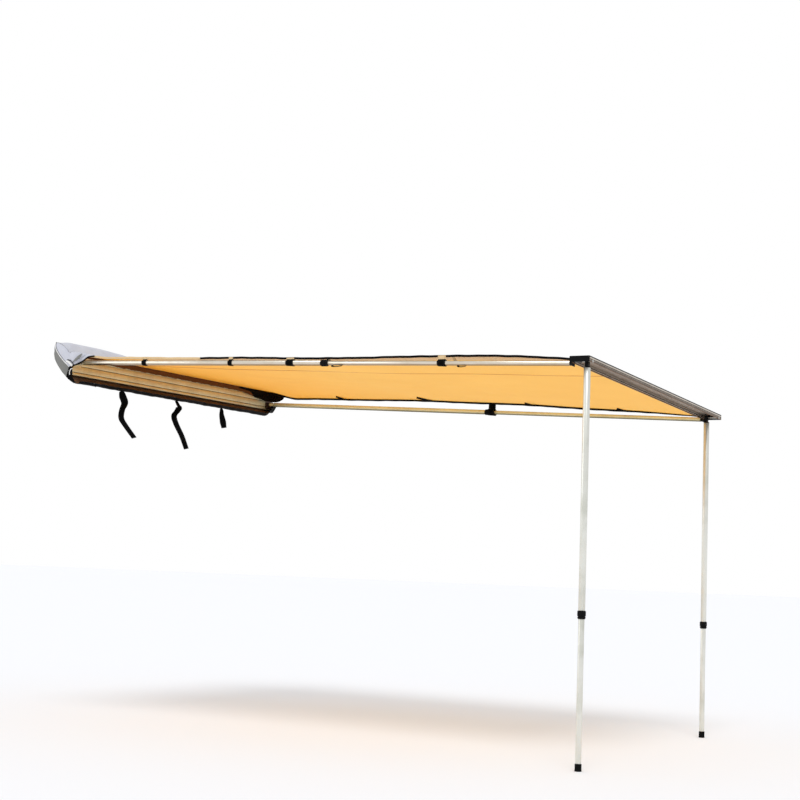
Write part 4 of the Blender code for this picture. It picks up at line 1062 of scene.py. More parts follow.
@dataclass
class CoverBag:
    """Soft cover, zipped open: skirt, thrown-back flap, end panels, zip, slider and straps."""

    layout: Layout
    shop: Workshop
    reach: float = 1.004
    sheet: float = 0.0010
    taper: float = 0.140
    ridge_near: float = 0.132
    ridge_far: float = 0.092
    end_dip: float = 0.011
    flap_start: float = 0.0594
    panel_corner: float = 0.004
    zip_place: tuple[float, float] = (0.0849, -0.099)
    zip_end: float = 0.86
    slider_start: float = -0.9
    strap_places: dict[str, float] = field(
        default_factory=lambda: {"near": -0.593, "middle": -0.071, "far": 0.405})
    strap_width: float = 0.032
    strap_thickness: float = 0.0022

    @staticmethod
    def smooth(value: np.ndarray) -> np.ndarray:
        """Smooth rise from 0 to 1: 3 t^2 - 2 t^3, with t clipped to that span."""
        t = np.clip(value, 0, 1)
        return t * t * (3 - 2 * t)

    def cord(self, name: str, path: np.ndarray, radius: float, finish: Finish = BLACK_PVC,
             slot: str = "black_pvc", sides: int = 10) -> bpy.types.Object:
        """Round cord or rolled edge of the bag, carried along a path."""
        return self.shop.piece(name, cord_skin(path, radius, sides), finish, "base", slot)

    def skirt(self) -> None:
        """Back panel and skirt: a rounded section carried along Y that closes up at the far end.

        Its free edge has shallow scallops, three sine waves along Y. Its inner side shows the lining.
        """
        low = -self.layout.rail_height / 2 - GAP - 0.0012
        back = -GAP - 0.0006
        behind = np.array(((back, 0.0585), (back, 0.02), (back, -0.03), (back, low)))
        hanging = np.array(((0.014, 0.010), (0.028, 0.030), (0.044, 0.044), (0.060, 0.048), (0.074, 0.044),
                            (0.084, 0.035)))
        closed = np.array(((0.008, 0.006), (0.016, 0.014), (0.028, 0.017), (0.040, 0.010), (0.052, -0.006),
                           (0.061, -0.024)))
        y = np.r_[np.linspace(-self.reach, self.zip_end, 220), np.linspace(self.zip_end + 0.004, self.reach, 40)]
        share = self.smooth((y - 1.0 + self.taper) / self.taper)[None, :, None]
        front = hanging[:, None] * (1 - share) + closed[:, None] * share
        front = front * np.array((1.0, -1.0)) + np.array((0.0, low))
        route = np.concatenate((np.broadcast_to(behind[:, None], (len(behind), len(y), 2)), front))
        section = spline(route.reshape(len(route), -1), 60).reshape(60, len(y), 2)
        x, z = section[..., 0], section[..., 1]
        x = np.where(z > low + 0.002, np.where(x < 0.004, np.minimum(x, back), x), x)
        free = np.clip((x - 0.02) / 0.064, 0, 1) * (1 - share[..., 0])
        wave = 0.0016 * np.sin(y * 21.0) + 0.0011 * np.sin(y * 47.0 + 1.3) + 0.0008 * np.sin(y * 83.0)
        grid = np.stack((x + free * 0.4 * wave, np.broadcast_to(y, x.shape), z + free * wave), -1)
        run = lengths(section[:, 0])
        flat = np.stack(np.broadcast_arrays(y[None], run[:, None]), -1)
        item = self.shop.piece("bag_skirt", open_sheet(grid, flat), BLACK_PVC, "base", "black_pvc",
                               ("bag_back",), 60, self.sheet)
        self.shop.line(item, LINING)

    def flap_shape(self, s: np.ndarray, y: np.ndarray) -> np.ndarray:
        """Cover thrown up and back: a bowed section whose ridge falls from the near end, with slanting folds.

        Args:
            s: 0 at the rail to 1 at the free edge.
            y: place along the rail.

        Returns:
            Points in rail coordinates.
        """
        # x, and the height as a share of the ridge's
        shape = np.array(((-0.001, 0.0), (-0.012, 0.22), (-0.030, 0.50), (-0.055, 0.80), (-0.080, 0.97),
                          (-0.096, 1.0), (-0.106, 0.93), (-0.111, 0.75), (-0.1125, 0.40), (-0.110, 0.05),
                          (-0.106, -0.40)))
        count = 200
        fine = spline(np.c_[shape, np.zeros(len(shape))], count)[:, :2]
        at = s * (count - 1)
        x = np.interp(at, np.arange(count), fine[:, 0])
        rise = np.interp(at, np.arange(count), fine[:, 1])
        ridge = (self.ridge_near + (self.ridge_far - self.ridge_near) * self.smooth((y + 0.70) / 0.80)
                 - self.end_dip * (1 - self.smooth((y + self.reach) / 0.10)))
        body = np.sin(np.pi * np.clip(s * 2.2, 0, 1))
        fold = 0.0012 * np.sin(30 * y + 7 * s) + 0.0008 * np.sin(57 * y - 11 * s + 0.8)
        deep = (0.0045 * np.exp(-((y + 0.90 - 0.10 * s) / 0.018) ** 2)
                + 0.0035 * np.exp(-((y + 0.80 - 0.16 * s) / 0.022) ** 2))
        puff = body * (fold - deep)
        z = self.flap_start + (ridge - self.flap_start) * rise + puff
        return np.stack((x - 0.5 * puff, y + 0 * x, z), -1)

    def flap(self) -> None:
        """Silver-grey cover with a turned hem along its free edge, and the gusset over the near hinge."""
        s = np.linspace(0, 1, 70)[:, None]
        y = np.linspace(-self.reach, self.reach, 320)[None, :]
        grid = self.flap_shape(*np.broadcast_arrays(s, y))
        run = lengths(grid[:, 160])
        flat = np.stack(np.broadcast_arrays(y, run[:, None]), -1)
        item = self.shop.piece("bag_cover_flap", open_sheet(grid, flat), GREY_PVC, "base",
                               "grey_pvc", ("bag_flap",), 60, self.sheet)
        edge = grid[-1, 3:-3] + np.array((0.0016, 0.0, 0.004))
        hem = carried(edge, np.array((0.2, 0.0, 1.0)), 0.009, 0.0020)
        hem_piece = self.shop.piece("bag_flap_hem", hem, BLACK_PVC, "base", "black_pvc")
        self.gusset()

    def gusset(self) -> None:
        """Grey end gusset that closes the flap's end and is tucked over the near hinge.

        Straight threads run between its top edge and its lower one, and it stands out along -Y by
        bulge * sin(pi t) sin(pi s), with one sharp crease. Only the edge over the rail is bound, and a
        white roll, a seam and a grey fold lie over it there; the fold's dark grey is painted shade.
        """
        top = spline(((-0.103, -1.0046, 0.119), (-0.085, -1.0045, 0.118), (-0.060, -1.0043, 0.109),
                      (-0.030, -1.0046, 0.0885), (-0.001, -1.0058, 0.0605), (0.012, -1.0058, 0.0625),
                      (0.030, -1.0040, 0.064), (0.061, -0.989, 0.0625), (0.088, -0.983, 0.058),
                      (0.117, -0.976, 0.052), (0.150, -0.973, 0.046)), 110)
        low = spline(((-0.1035, -1.0046, 0.100), (-0.085, -1.0046, 0.064), (-0.060, -1.0046, 0.0345),
                      (-0.030, -1.0048, 0.0065), (0.002, -1.0056, -0.019), (0.0125, -1.0056, -0.0185),
                      (0.032, -1.0030, -0.0112), (0.061, -0.993, 0.002), (0.088, -0.989, 0.016),
                      (0.117, -0.983, 0.0365), (0.150, -0.974, 0.0415)), 110)
        s = np.linspace(0, 1, 30)[:, None, None]
        t = np.linspace(0, 1, 110)[None, :, None]
        grid = top[None] * (1 - s) + low[None] * s
        over = np.clip((t - 0.4) / 0.6, 0, 1)
        bulge = (0.002 + 0.005 * over) * np.sin(np.pi * s) * np.sin(np.pi * np.clip(t * 0.9 + 0.1, 0, 1))
        crease = 0.006 * np.exp(-((over - 0.80 + 0.35 * s) / 0.045) ** 2) * np.sin(np.pi * s)
        grid = grid + (crease - bulge) * ALONG
        span = float(lengths((top + low) / 2)[-1])
        flat = np.concatenate(np.broadcast_arrays(t * span, s * 0.08), -1)
        item = self.shop.piece("bag_gusset_near", open_sheet(grid, flat), GREY_PVC, "base",
                               "grey_pvc", (), 60, self.sheet)
        bound = self.cord("bag_gusset_binding", low[44:], 0.0042)
        roll = spline(((-0.013, -1.0115, 0.0115), (0.003, -1.0125, 0.0070), (0.017, -1.0120, -0.0040),
                       (0.025, -1.0085, -0.0140)), 30)
        rolled = self.cord("bag_gusset_roll", roll, 0.0062, WHITE_PIPING, "grey_pvc", 14)
        arc = spline(((-0.009, -1.0120, 0.0210), (0.0155, -1.0130, 0.0150), (0.0315, -1.0090, -0.0020),
                      (0.0300, -1.0060, -0.0150)), 30)
        seam = self.cord("bag_gusset_seam", arc, 0.0022)
        # Dark grey strip along a crease: its darkness is painted shade
        line = np.array(((0.0286, -1.0100, 0.0069), (0.0625, -1.0070, 0.0311), (0.0851, -1.0005, 0.0534)))
        taper = np.sin(np.linspace(0.12, 2.9, 30))
        crease_shade_strip = carried(spline(line, 30), np.array((0.6, 0.0, -0.8)), 0.017, 0.0016, 0.35, taper)
        fold = self.shop.piece("bag_gusset_crease_shade", crease_shade_strip, SHADED_GREY_PVC, "base", "grey_pvc")

    def panel(self, name: str, corners: np.ndarray, y: float, pad: float, finish: Finish, slot: str,
              node: str) -> np.ndarray:
        """End panel: one sheet cut to a rounded outline, padded outwards.

        Args:
            name: the piece's name.
            corners: outline, x and z.
            y: plane of its edge.
            pad: how far its inside stands out along Y.
            finish: its cloth.
            slot: the record's slot.
            node: CAD node that it stands for.

        Returns:
            The rounded outline, for its piping.
        """
        outline = rounded(corners, self.panel_corner)
        skin = pushed(outline, y + np.sign(y) * np.array((-0.0005, 0.0, pad)), None, np.array((0.0, 0.0, 0.02)))
        skin.flat = skin.points[:, (0, 2)].copy()
        self.shop.piece(name, skin, finish, "base", slot, (node,), 60)
        return outline

    def ends(self) -> None:
        """Near crescent, grey darkened as painted shade, with white and black piping over a black foot, and the
        far end's black bow.
        """
        crescent = np.array(((-0.104, 0.121), (-0.1125, 0.0586), (-0.106, 0.030), (-0.090, 0.004),
                             (-0.072, -0.0186), (-0.047, -0.047), (-0.0145, -0.075), (-0.0127, -0.068),
                             (-0.006, -0.045), (0.002, -0.0186), (-0.037, 0.013), (-0.070, 0.045),
                             (-0.1027, 0.087)))
        self.panel("bag_end_panel_near", crescent, -self.reach - 0.0009, 0.0006, SHADED_GREY_PVC, "grey_pvc",
                   "bag_end_near")
        y = -self.reach - 0.0012
        inner = np.array(((0.002, y, -0.0186), (-0.018, y, -0.002), (-0.037, y, 0.013), (-0.070, y, 0.045),
                          (-0.096, y, 0.078), (-0.1045, y, 0.100), (-0.104, y, 0.121)))
        self.cord("bag_piping_white", spline(inner, 90), 0.0024, WHITE_PIPING, "white_cord")
        beside = inner + np.array((0.0050, 0.0004, 0.0026))
        self.cord("bag_piping_black", spline(beside, 90), 0.0015)
        tail = np.array(((0.002, y, -0.0186), (-0.006, y, -0.045), (-0.0127, y, -0.068), (-0.0145, y, -0.075)))
        self.cord("bag_piping_tail", spline(tail, 30), 0.0020)
        foot = np.array(((-0.0155, -0.0742), (-0.0074, -0.0571), (0.0011, -0.0360), (0.0078, -0.0400),
                         (0.0060, -0.0600), (0.0220, -0.0660), (0.0564, -0.1130), (0.0383, -0.1095),
                         (0.0228, -0.1014), (0.0012, -0.0880)))
        reach = y + np.array((-0.0005, 0.0, 0.0006))
        self.shop.piece("bag_end_foot", pushed(rounded(foot, 0.003), reach), BLACK_PVC, "base", "black_pvc")
        curl = np.array(((0.0280, y - 0.003, -0.0292), (0.0181, y - 0.003, -0.0306), (0.0116, y - 0.003, -0.0399),
                         (0.0089, y - 0.003, -0.0510), (0.0104, y - 0.003, -0.0633)))
        self.cord("bag_piping_end", spline(curl, 40), 0.0024, WHITE_PIPING, "white_cord")
        bow = np.array(((-0.002, -0.066), (-0.002, 0.0545), (0.012, 0.052), (0.050, 0.056), (0.095, 0.044),
                        (0.139, 0.024), (0.120, 0.022), (0.085, 0.026), (0.045, 0.0275), (0.024, 0.026),
                        (0.023, -0.005), (0.040, -0.020), (0.060, -0.028), (0.062, -0.040), (0.050, -0.060),
                        (0.036, -0.078), (0.020, -0.080)))
        outline = self.panel("bag_end_panel_far", bow, self.reach + 0.0009, 0.0003, BLACK_PVC, "black_pvc",
                             "bag_end_far")
        full = np.stack((outline[:, 0], np.full(len(outline), self.reach + 0.0006), outline[:, 1]), -1)
        self.cord("bag_piping_far", np.concatenate((full, full[:1])), 0.0016)

    def zip(self) -> None:
        """Zip tape with moulded teeth along the skirt's edge, and a slider with its pull."""
        x, z = self.zip_place
        y = np.linspace(-1.0, self.zip_end, 200)
        tape = carried(np.stack((np.full(200, x + 0.0035), y, np.full(200, z)), -1), OUT, 0.007, 0.0010)
        self.shop.piece("zip_tape", tape, HOOK_TAPE, "base", "black_pvc", ("bag_zip",))
        section = np.array(((0, -0.0014), (0.0042, -0.0011), (0.0042, 0.0011), (0, 0.0014)))
        tooth = pushed(rounded(section, 0.0005, True, 1), np.array((-0.0012, 0.0012)))
        places = np.arange(-0.996, self.zip_end - 0.003, 0.004)
        where = np.stack((np.full(len(places), x + 0.0056), places, np.full(len(places), z)), -1)
        self.shop.piece("zip_teeth", repeated(tooth, where), ZIP_TEETH, "base", "black_pvc")
        jaw = rounded(((0.0045, 0.0018), (0.0103, 0.0018), (0.0103, -0.0018), (0.0045, -0.0018),
                       (0.0045, -0.0036), (0.0121, -0.0036), (0.0121, 0.0036), (0.0045, 0.0036)), 0.0006)
        stations = self.slider_start + np.array((0.0, 0.0025, 0.0155, 0.018))
        body = pushed(jaw + np.array((x, z)), stations, None, np.array((0.12, 0.0, 0.0, 0.12)))
        self.shop.piece("zip_slider_body", body, DARK_ZINC, "slider", "zinc_steel", ("zip_slider",), 30)
        middle = self.slider_start + 0.009
        pull_path = np.array(((x + 0.0126, middle, z), (x + 0.0140, middle, z - 0.006),
                              (x + 0.0138, middle + 0.001, z - 0.014), (x + 0.0134, middle + 0.002, z - 0.022)))
        pull = carried(spline(pull_path, 16), ALONG, 0.006, 0.0014)
        self.shop.piece("zip_slider_pull", pull, HOOK_TAPE, "slider", "black_webbing")

    def straps(self) -> None:
        """Three hanging straps: a flat tape that turns from the seam towards the open side as it falls."""
        bends = {
            "near": ((0, 0, 0), (0.003, 0.012, -0.030), (0.003, 0.033, -0.066), (0.006, 0.009, -0.109),
                     (0.004, 0.008, -0.155), (0.002, 0.048, -0.192), (0.000, 0.141, -0.259)),
            "middle": ((0, 0, 0), (0.003, 0.022, -0.025), (0.003, 0.033, -0.040), (0.004, 0.015, -0.063),
                       (0.006, -0.018, -0.096), (0.003, 0.011, -0.142), (0.000, 0.077, -0.209),
                       (-0.003, 0.134, -0.283)),
            "far": ((0, 0, 0), (0.003, 0.001, -0.020), (0.003, 0.003, -0.042), (0.004, 0.017, -0.079),
                    (0.002, 0.037, -0.121)),
        }
        steps = (0, 0.2, 0.3, 0.45, 0.8, 1)
        shares = {"near": (1.2, 1.3, 1.3, 1.05, 1.0, 0.95), "middle": (0.6, 0.6, 1.2, 1.1, 1.0, 0.95),
                  "far": (0.65, 0.75, 0.8, 0.9, 1.25, 1.0)}
        t = np.linspace(0, 1, 60)
        turn = np.radians(np.interp(t, (0, 0.2, 1), (0, 50, 60)))
        across = np.stack((np.sin(turn), np.cos(turn), 0 * turn), -1)
        for name, place in self.strap_places.items():
            start = np.array((0.044, place, -0.1092))
            path = spline(start + bends[name], len(t))
            width = np.interp(t, steps, shares[name])
            tape = carried(path, across, self.strap_width, self.strap_thickness, 0.35, width)
            self.shop.piece(f"closing_strap_{name}", tape, HOOK_TAPE, "base", "black_webbing",
                            (f"cover_strap_{name}",))

    def build(self) -> None:
        """Build the whole bag."""
        self.skirt()
        self.flap()
        self.ends()
        self.zip()
        self.straps()


@dataclass
class Pole:
    """Telescopic pole: outer tube, ribbed twist collar, inner tube and its expander.

    The collar is given by its start, length and radius, the inner tube by its start and end.
    """

    shop: Workshop
    kind: str
    side: Side
    origin: np.ndarray
    along: np.ndarray
    finish: Finish
    radius: float
    inner_radius: float
    outer_end: float
    collar: tuple[float, float, float]
    inner: tuple[float, float]
    wall: float = 0.0012
    start: float = 0.030

    def build(self) -> None:
        """Build the pole's pieces on their bodies."""
        side, kind = self.side.value, self.kind
        bodies = f"{kind}_outer_{side}", f"{kind}_lock_{side}", f"{kind}_inner_{side}"
        self.tube("outer_tube", self.start, self.outer_end, self.radius, bodies[0])
        self.tube("inner_tube", *self.inner, self.inner_radius, bodies[2])
        start, length, radius = self.collar
        sleeve, throat = self.radius + GAP, self.inner_radius + GAP
        step = self.outer_end + GAP
        grip = np.linspace(start + 0.004, start + length * 0.62, 8)
        outside = [(start, sleeve), (start, radius - 0.0022), (start + 0.002, radius - 0.0008),
                   *[(d, radius - 0.0010) for d in grip], (grip[-1] + 0.0015, radius - 0.0026),
                   (grip[-1] + 0.004, radius - 0.0026), (grip[-1] + 0.0052, radius - 0.0004),
                   (start + length - 0.005, radius - 0.0010), (start + length - 0.0015, radius - 0.0030),
                   (start + length, radius - 0.0042), (start + length, throat), (step, throat), (step, sleeve)]
        skin = turned(np.array(outside), self.origin, self.along, 96, 24, 0.0010, (grip[0], grip[-1]), True)
        self.shop.piece(f"{kind}_twist_collar_{side}", skin, NYLON, bodies[1], "black_plastic",
                        (f"{kind}_collar_{side}",), 35)
        self.shop.refinish(NYLON, f"{kind}_twist_lock_{side}")
        self.shop.refinish(self.finish if kind == "arm" else NYLON, f"{kind}_hinge_end_{side}")

    def tube(self, part: str, start: float, end: float, radius: float, body: str) -> None:
        """Drawn tube with softened rims: its wall's section spun about the pole.

        Args:
            part: the tube's name in the pole.
            start: where it starts along the pole.
            end: where it ends.
            radius: its outer radius.
            body: the CAD body that it rides on.
        """
        bore, soft = radius - self.wall, 0.0004
        wall = [(start, bore), (start, radius - soft), (start + soft, radius),
                (end - soft, radius), (end, radius - soft), (end, bore)]
        skin = turned(np.array(wall), self.origin, self.along, 48, hollow=True)
        side = self.side.value
        self.shop.piece(f"{self.kind}_{part}_drawn_{side}", skin, self.finish, body, "silver_aluminium",
                        (f"{self.kind}_{part}_{side}",), 50)


@dataclass
class Arms:
    """Two telescopic arms with their hinges and domed tips."""

    layout: Layout
    shop: Workshop
    radius: float = 0.014
    inner_radius: float = 0.012
    plug_radius: float = 0.0105
    outer_end: float = 1.588
    collar: tuple[float, float, float] = (1.574, 0.042, 0.0175)
    overlap: float = 0.140
    tip: float = 0.008

    def build(self) -> None:
        """Build both arms. The tube covers most of the tip, and only a low dome of the plug shows."""
        for side in Side:
            origin, along = self.layout.arm_origin(side), self.layout.arm_along(side)
            inner_end = self.layout.arm_length - self.tip
            # The far side's tube has a painted warm reflection and painted shade below, and its bracket painted
            # shade
            finish, bracket = (SILVER_ARM, CHAMPAGNE) if side is Side.NEAR else (FAR_ARM_PAINTED_LIGHT, FAR_BRACKET_SHADE)
            Pole(self.shop, "arm", side, origin, along, finish, self.radius, self.inner_radius, self.outer_end,
                 self.collar, (self.outer_end - self.overlap, inner_end)).build()
            face, radius, plug = inner_end + GAP, self.inner_radius, self.plug_radius
            half = (self.layout.arm_length - face) / 2
            nose = dome(face + half, half, radius, 9)
            profile = np.concatenate((((face - 0.045, 0.0), (face - 0.045, plug), (face, plug),
                                       (face, radius - 0.0008), (face + 0.0008, radius)), nose))
            self.shop.piece(f"arm_nose_{side.value}", turned(profile, origin, along), NYLON,
                            f"arm_inner_{side.value}", "black_plastic", (f"arm_tip_{side.value}",), 40)
            self.pin(side, origin, np.array((-along[2], 0.0, along[0])))
            self.shop.refinish(bracket, f"arm_bracket_{side.value}")

    def pin(self, side: Side, origin: np.ndarray, up: np.ndarray) -> None:
        """Riveted hinge pin: a shank between two shallow domes.

        Args:
            side: the arm's end of the rail.
            origin: the pin's middle.
            up: its direction.
        """
        outside = 0.008 + GAP + 0.004 + GAP
        top = np.concatenate((((outside, 0.004), (outside, 0.007)), dome(outside, 0.003, 0.007)))
        bottom = top[::-1] * np.array((-1.0, 1.0))
        skin = turned(np.concatenate((bottom, top)), origin, up, 24)
        self.shop.piece(f"arm_hinge_pin_{side.value}", skin, ZINC, "base", "zinc_steel",
                        (f"arm_pin_{side.value}",), 50)


@dataclass
class FrontBeam:
    """Tilted taupe channel with its end caps and the pins of the legs."""

    layout: Layout
    shop: Workshop
    wall: float = 0.0025
    cap: float = 0.004
    lip_drop: float = 0.014
    groove_heights: tuple[float, ...] = (-0.0150, -0.0215)
    groove_width: float = 0.0025
    groove_depth: float = 0.0012
    lip_width: float = 0.012
    ribs: tuple[float, ...] = (0.035, 0.022, 0.009, -0.004, -0.017, -0.030)

    def outline(self) -> np.ndarray:
        """Section of the beam: a channel open below, a keder groove inside, grooves on its outer face.

        Returns:
            The section's corners, x and z from the middle of its top.
        """
        half, h = self.layout.beam_width / 2, self.layout.beam_height
        inside = half - self.wall
        keder = -self.layout.beam_keder_drop
        ring = keder_ring(0.0045 - half, keder, math.pi)
        points = [(-half, -h), (-half, keder - KEDER_MOUTH), *map(tuple, ring), (-half, keder + KEDER_MOUTH),
                  (-half, 0), (half, 0), (half, -0.0056), (half + 0.0008, -0.0060), (half + 0.0008, -0.0108),
                  (half, -0.0112)]
        for z in self.groove_heights:
            top, low, floor = z + self.groove_width / 2, z - self.groove_width / 2, half - self.groove_depth
            points += [(half, top), (floor, top), (floor, low), (half, low)]
        points += [(half, -0.0245), (half, -h), (inside, -h), (inside, -self.wall)]
        for x in self.ribs:
            top, low = -self.wall, -self.wall - 0.0011
            points += [(x + 0.001, top), (x + 0.001, low), (x - 0.001, low), (x - 0.001, top)]
        boss = keder - KEDER_RADIUS - 0.0016
        points += [(-half + 0.0083, -self.wall), (-half + 0.0083, boss), (-inside, boss), (-inside, -0.0170),
                   (0.0008 - inside, -0.0174), (0.0008 - inside, -0.0208), (-inside, -0.0212), (-inside, -h)]
        return np.array(points)

    def build(self) -> None:
        """Build the beam, its caps and its pins."""
        half = self.layout.rail_length / 2 - self.cap
        frame = self.layout.beam_frame
        section = rounded(self.outline(), 0.0005, True, 2)
        beam = self.shop.piece("beam_extrusion", pushed(section, np.array((-half, half)), frame), TAUPE, "beam",
                               "grey_aluminium", ("front_beam",), 30)
        local = (self.shop.centres(beam) - frame[:3, 3]) @ frame[:3, :3]
        edge = self.layout.beam_width / 2
        x, z = local[:, 0], local[:, 2]
        # The outer face with its grooves' floors, the inner side of the near wall, and the raised beads of both:
        # painted shade in the floors and on a band of the inner wall, a painted highlight on the beads
        outer = x > edge - 0.0015
        floors = outer & (x < edge - 0.0001) & (z > -0.0235) & (z < -0.012)
        inner = np.abs(x + edge - self.wall) < 0.0012
        raised = (x > edge + 0.0002) | (inner & (x > self.wall + 0.0003 - edge))
        self.shop.accent(beam, BEAM_GROOVE_SHADE, floors | (inner & (z < -0.0133) & (z > -0.0168)))
        self.shop.accent(beam, BEAM_TOP_BLACK, outer & (z > -0.0057))
        self.shop.accent(beam, BEAM_FOOT, (outer & (z < -0.0243)) | (inner & (z < -0.0213)))
        self.shop.accent(beam, BEAM_BEAD_HIGHLIGHT, raised & (z < -0.0057))
        for side in Side:
            self.end_cap(side, half, frame)
            self.pin(side, frame)

    def end_cap(self, side: Side, half: float, frame: np.ndarray) -> None:
        """Moulded cap: an end plate, a plug in the channel and a lip that the arm's tip butts against.

        Args:
            side: its end of the beam.
            half: where the extrusion ends.
            frame: the beam's matrix.
        """
        edge, h = self.layout.beam_width / 2, self.layout.beam_height
        low = -h - self.lip_drop
        width = self.lip_width
        plate = rounded(((-edge, low), (-edge, 0), (edge, 0), (edge, -h), (-edge + width, -h),
                         (-edge + width, low)), 0.002)
        reach = side.sign * (half + np.array((GAP, 0.0010, 0.0030, self.cap)))
        skin = pushed(plate, reach, frame, np.array((0.0, 0.0, 0.0, 0.02)))
        top = -h - GAP
        lip = rounded(((-edge, low), (-edge + 0.004, low), (-edge + 0.004, top), (-edge, top)), 0.0012)
        reach = side.sign * np.array((half + 0.002, half + self.cap - 0.060))
        skin = skin + pushed(lip, reach, frame)
        plug = rounded(((-edge * 0.72, -0.0098), (edge - self.wall - GAP, -0.0098),
                        (edge - self.wall - GAP, -0.0028), (-edge * 0.72, -0.0028)), 0.001)
        reach = side.sign * np.array((half + 0.002, half - 0.020))
        skin = skin + pushed(plug, reach, frame)
        left, right = (0.002, 0.0468) if side is Side.FAR else (-0.040, -0.002)
        low, top = -0.0264, -0.0042
        block = rounded(((left, low), (right, low), (right, top), (left, top)), 0.001)
        skin = skin + pushed(block, side.sign * np.array((half + 0.002, half - 0.034)), frame)
        self.shop.piece(f"beam_cap_{side.value}", skin, NYLON, "beam", "black_plastic",
                        (f"beam_end_cap_{side.value}",), 35)

    def pin(self, side: Side, frame: np.ndarray) -> None:
        """Leg pin: a rod across the channel with a domed head on the outer face.

        Args:
            side: its end of the beam.
            frame: the beam's matrix.
        """
        edge = self.layout.beam_width / 2
        profile = np.concatenate((((-edge + 0.0002, 0.0), (-edge + 0.0002, 0.0036), (-edge + 0.0006, 0.004),
                                   (edge + GAP, 0.004), (edge + GAP, 0.007)), dome(edge + GAP, 0.003, 0.007)))
        y = side.sign * self.layout.leg_side / math.cos(self.layout.beam_tilt)
        place = (frame @ np.array((0.0, y, -self.layout.leg_drop, 1.0)))[:3]
        self.shop.piece(f"leg_hinge_pin_{side.value}", turned(profile, place, OUT, 24), ZINC, "beam",
                        "zinc_steel", (f"leg_pin_{side.value}",), 50)


@dataclass
class Legs:
    """Two telescopic legs with ribbed rubber feet."""

    layout: Layout
    shop: Workshop
    radius: float = 0.016
    inner_radius: float = 0.014
    outer_end: float = 1.164
    collar: tuple[float, float, float] = (1.153, 0.038, 0.020)
    inner_length: float = 0.95
    foot_height: float = 0.034
    sole: float = 0.008

    def build(self) -> None:
        """Build both legs, plumb from the beam to the ground."""
        down = -UP
        for side in Side:
            origin = self.layout.leg_origin(side)
            length = origin[2] - self.layout.ground
            inner_end = length - self.sole
            Pole(self.shop, "leg", side, origin, down, SILVER_LEG, self.radius, self.inner_radius, self.outer_end,
                 self.collar, (inner_end - self.inner_length, inner_end)).build()
            top, bore = length - self.foot_height, self.inner_radius + GAP
            z = np.linspace(top + 0.002, length - 0.006, 15)
            ribs = np.stack((z, 0.0158 + 0.0006 * np.cos((z - top) * 2 * math.pi / 0.0065)), -1)
            profile = np.concatenate((((inner_end + GAP, 0.0), (inner_end + GAP, bore), (top, bore),
                                       (top, 0.0150)), ribs, ((length - 0.004, 0.0165), (length - 0.0012, 0.0165),
                                                              (length, 0.0150), (length, 0.0))))
            self.shop.piece(f"leg_ferrule_{side.value}", turned(profile, origin, down), RUBBER,
                            f"leg_inner_{side.value}", "black_rubber", (f"leg_foot_{side.value}",), 50)


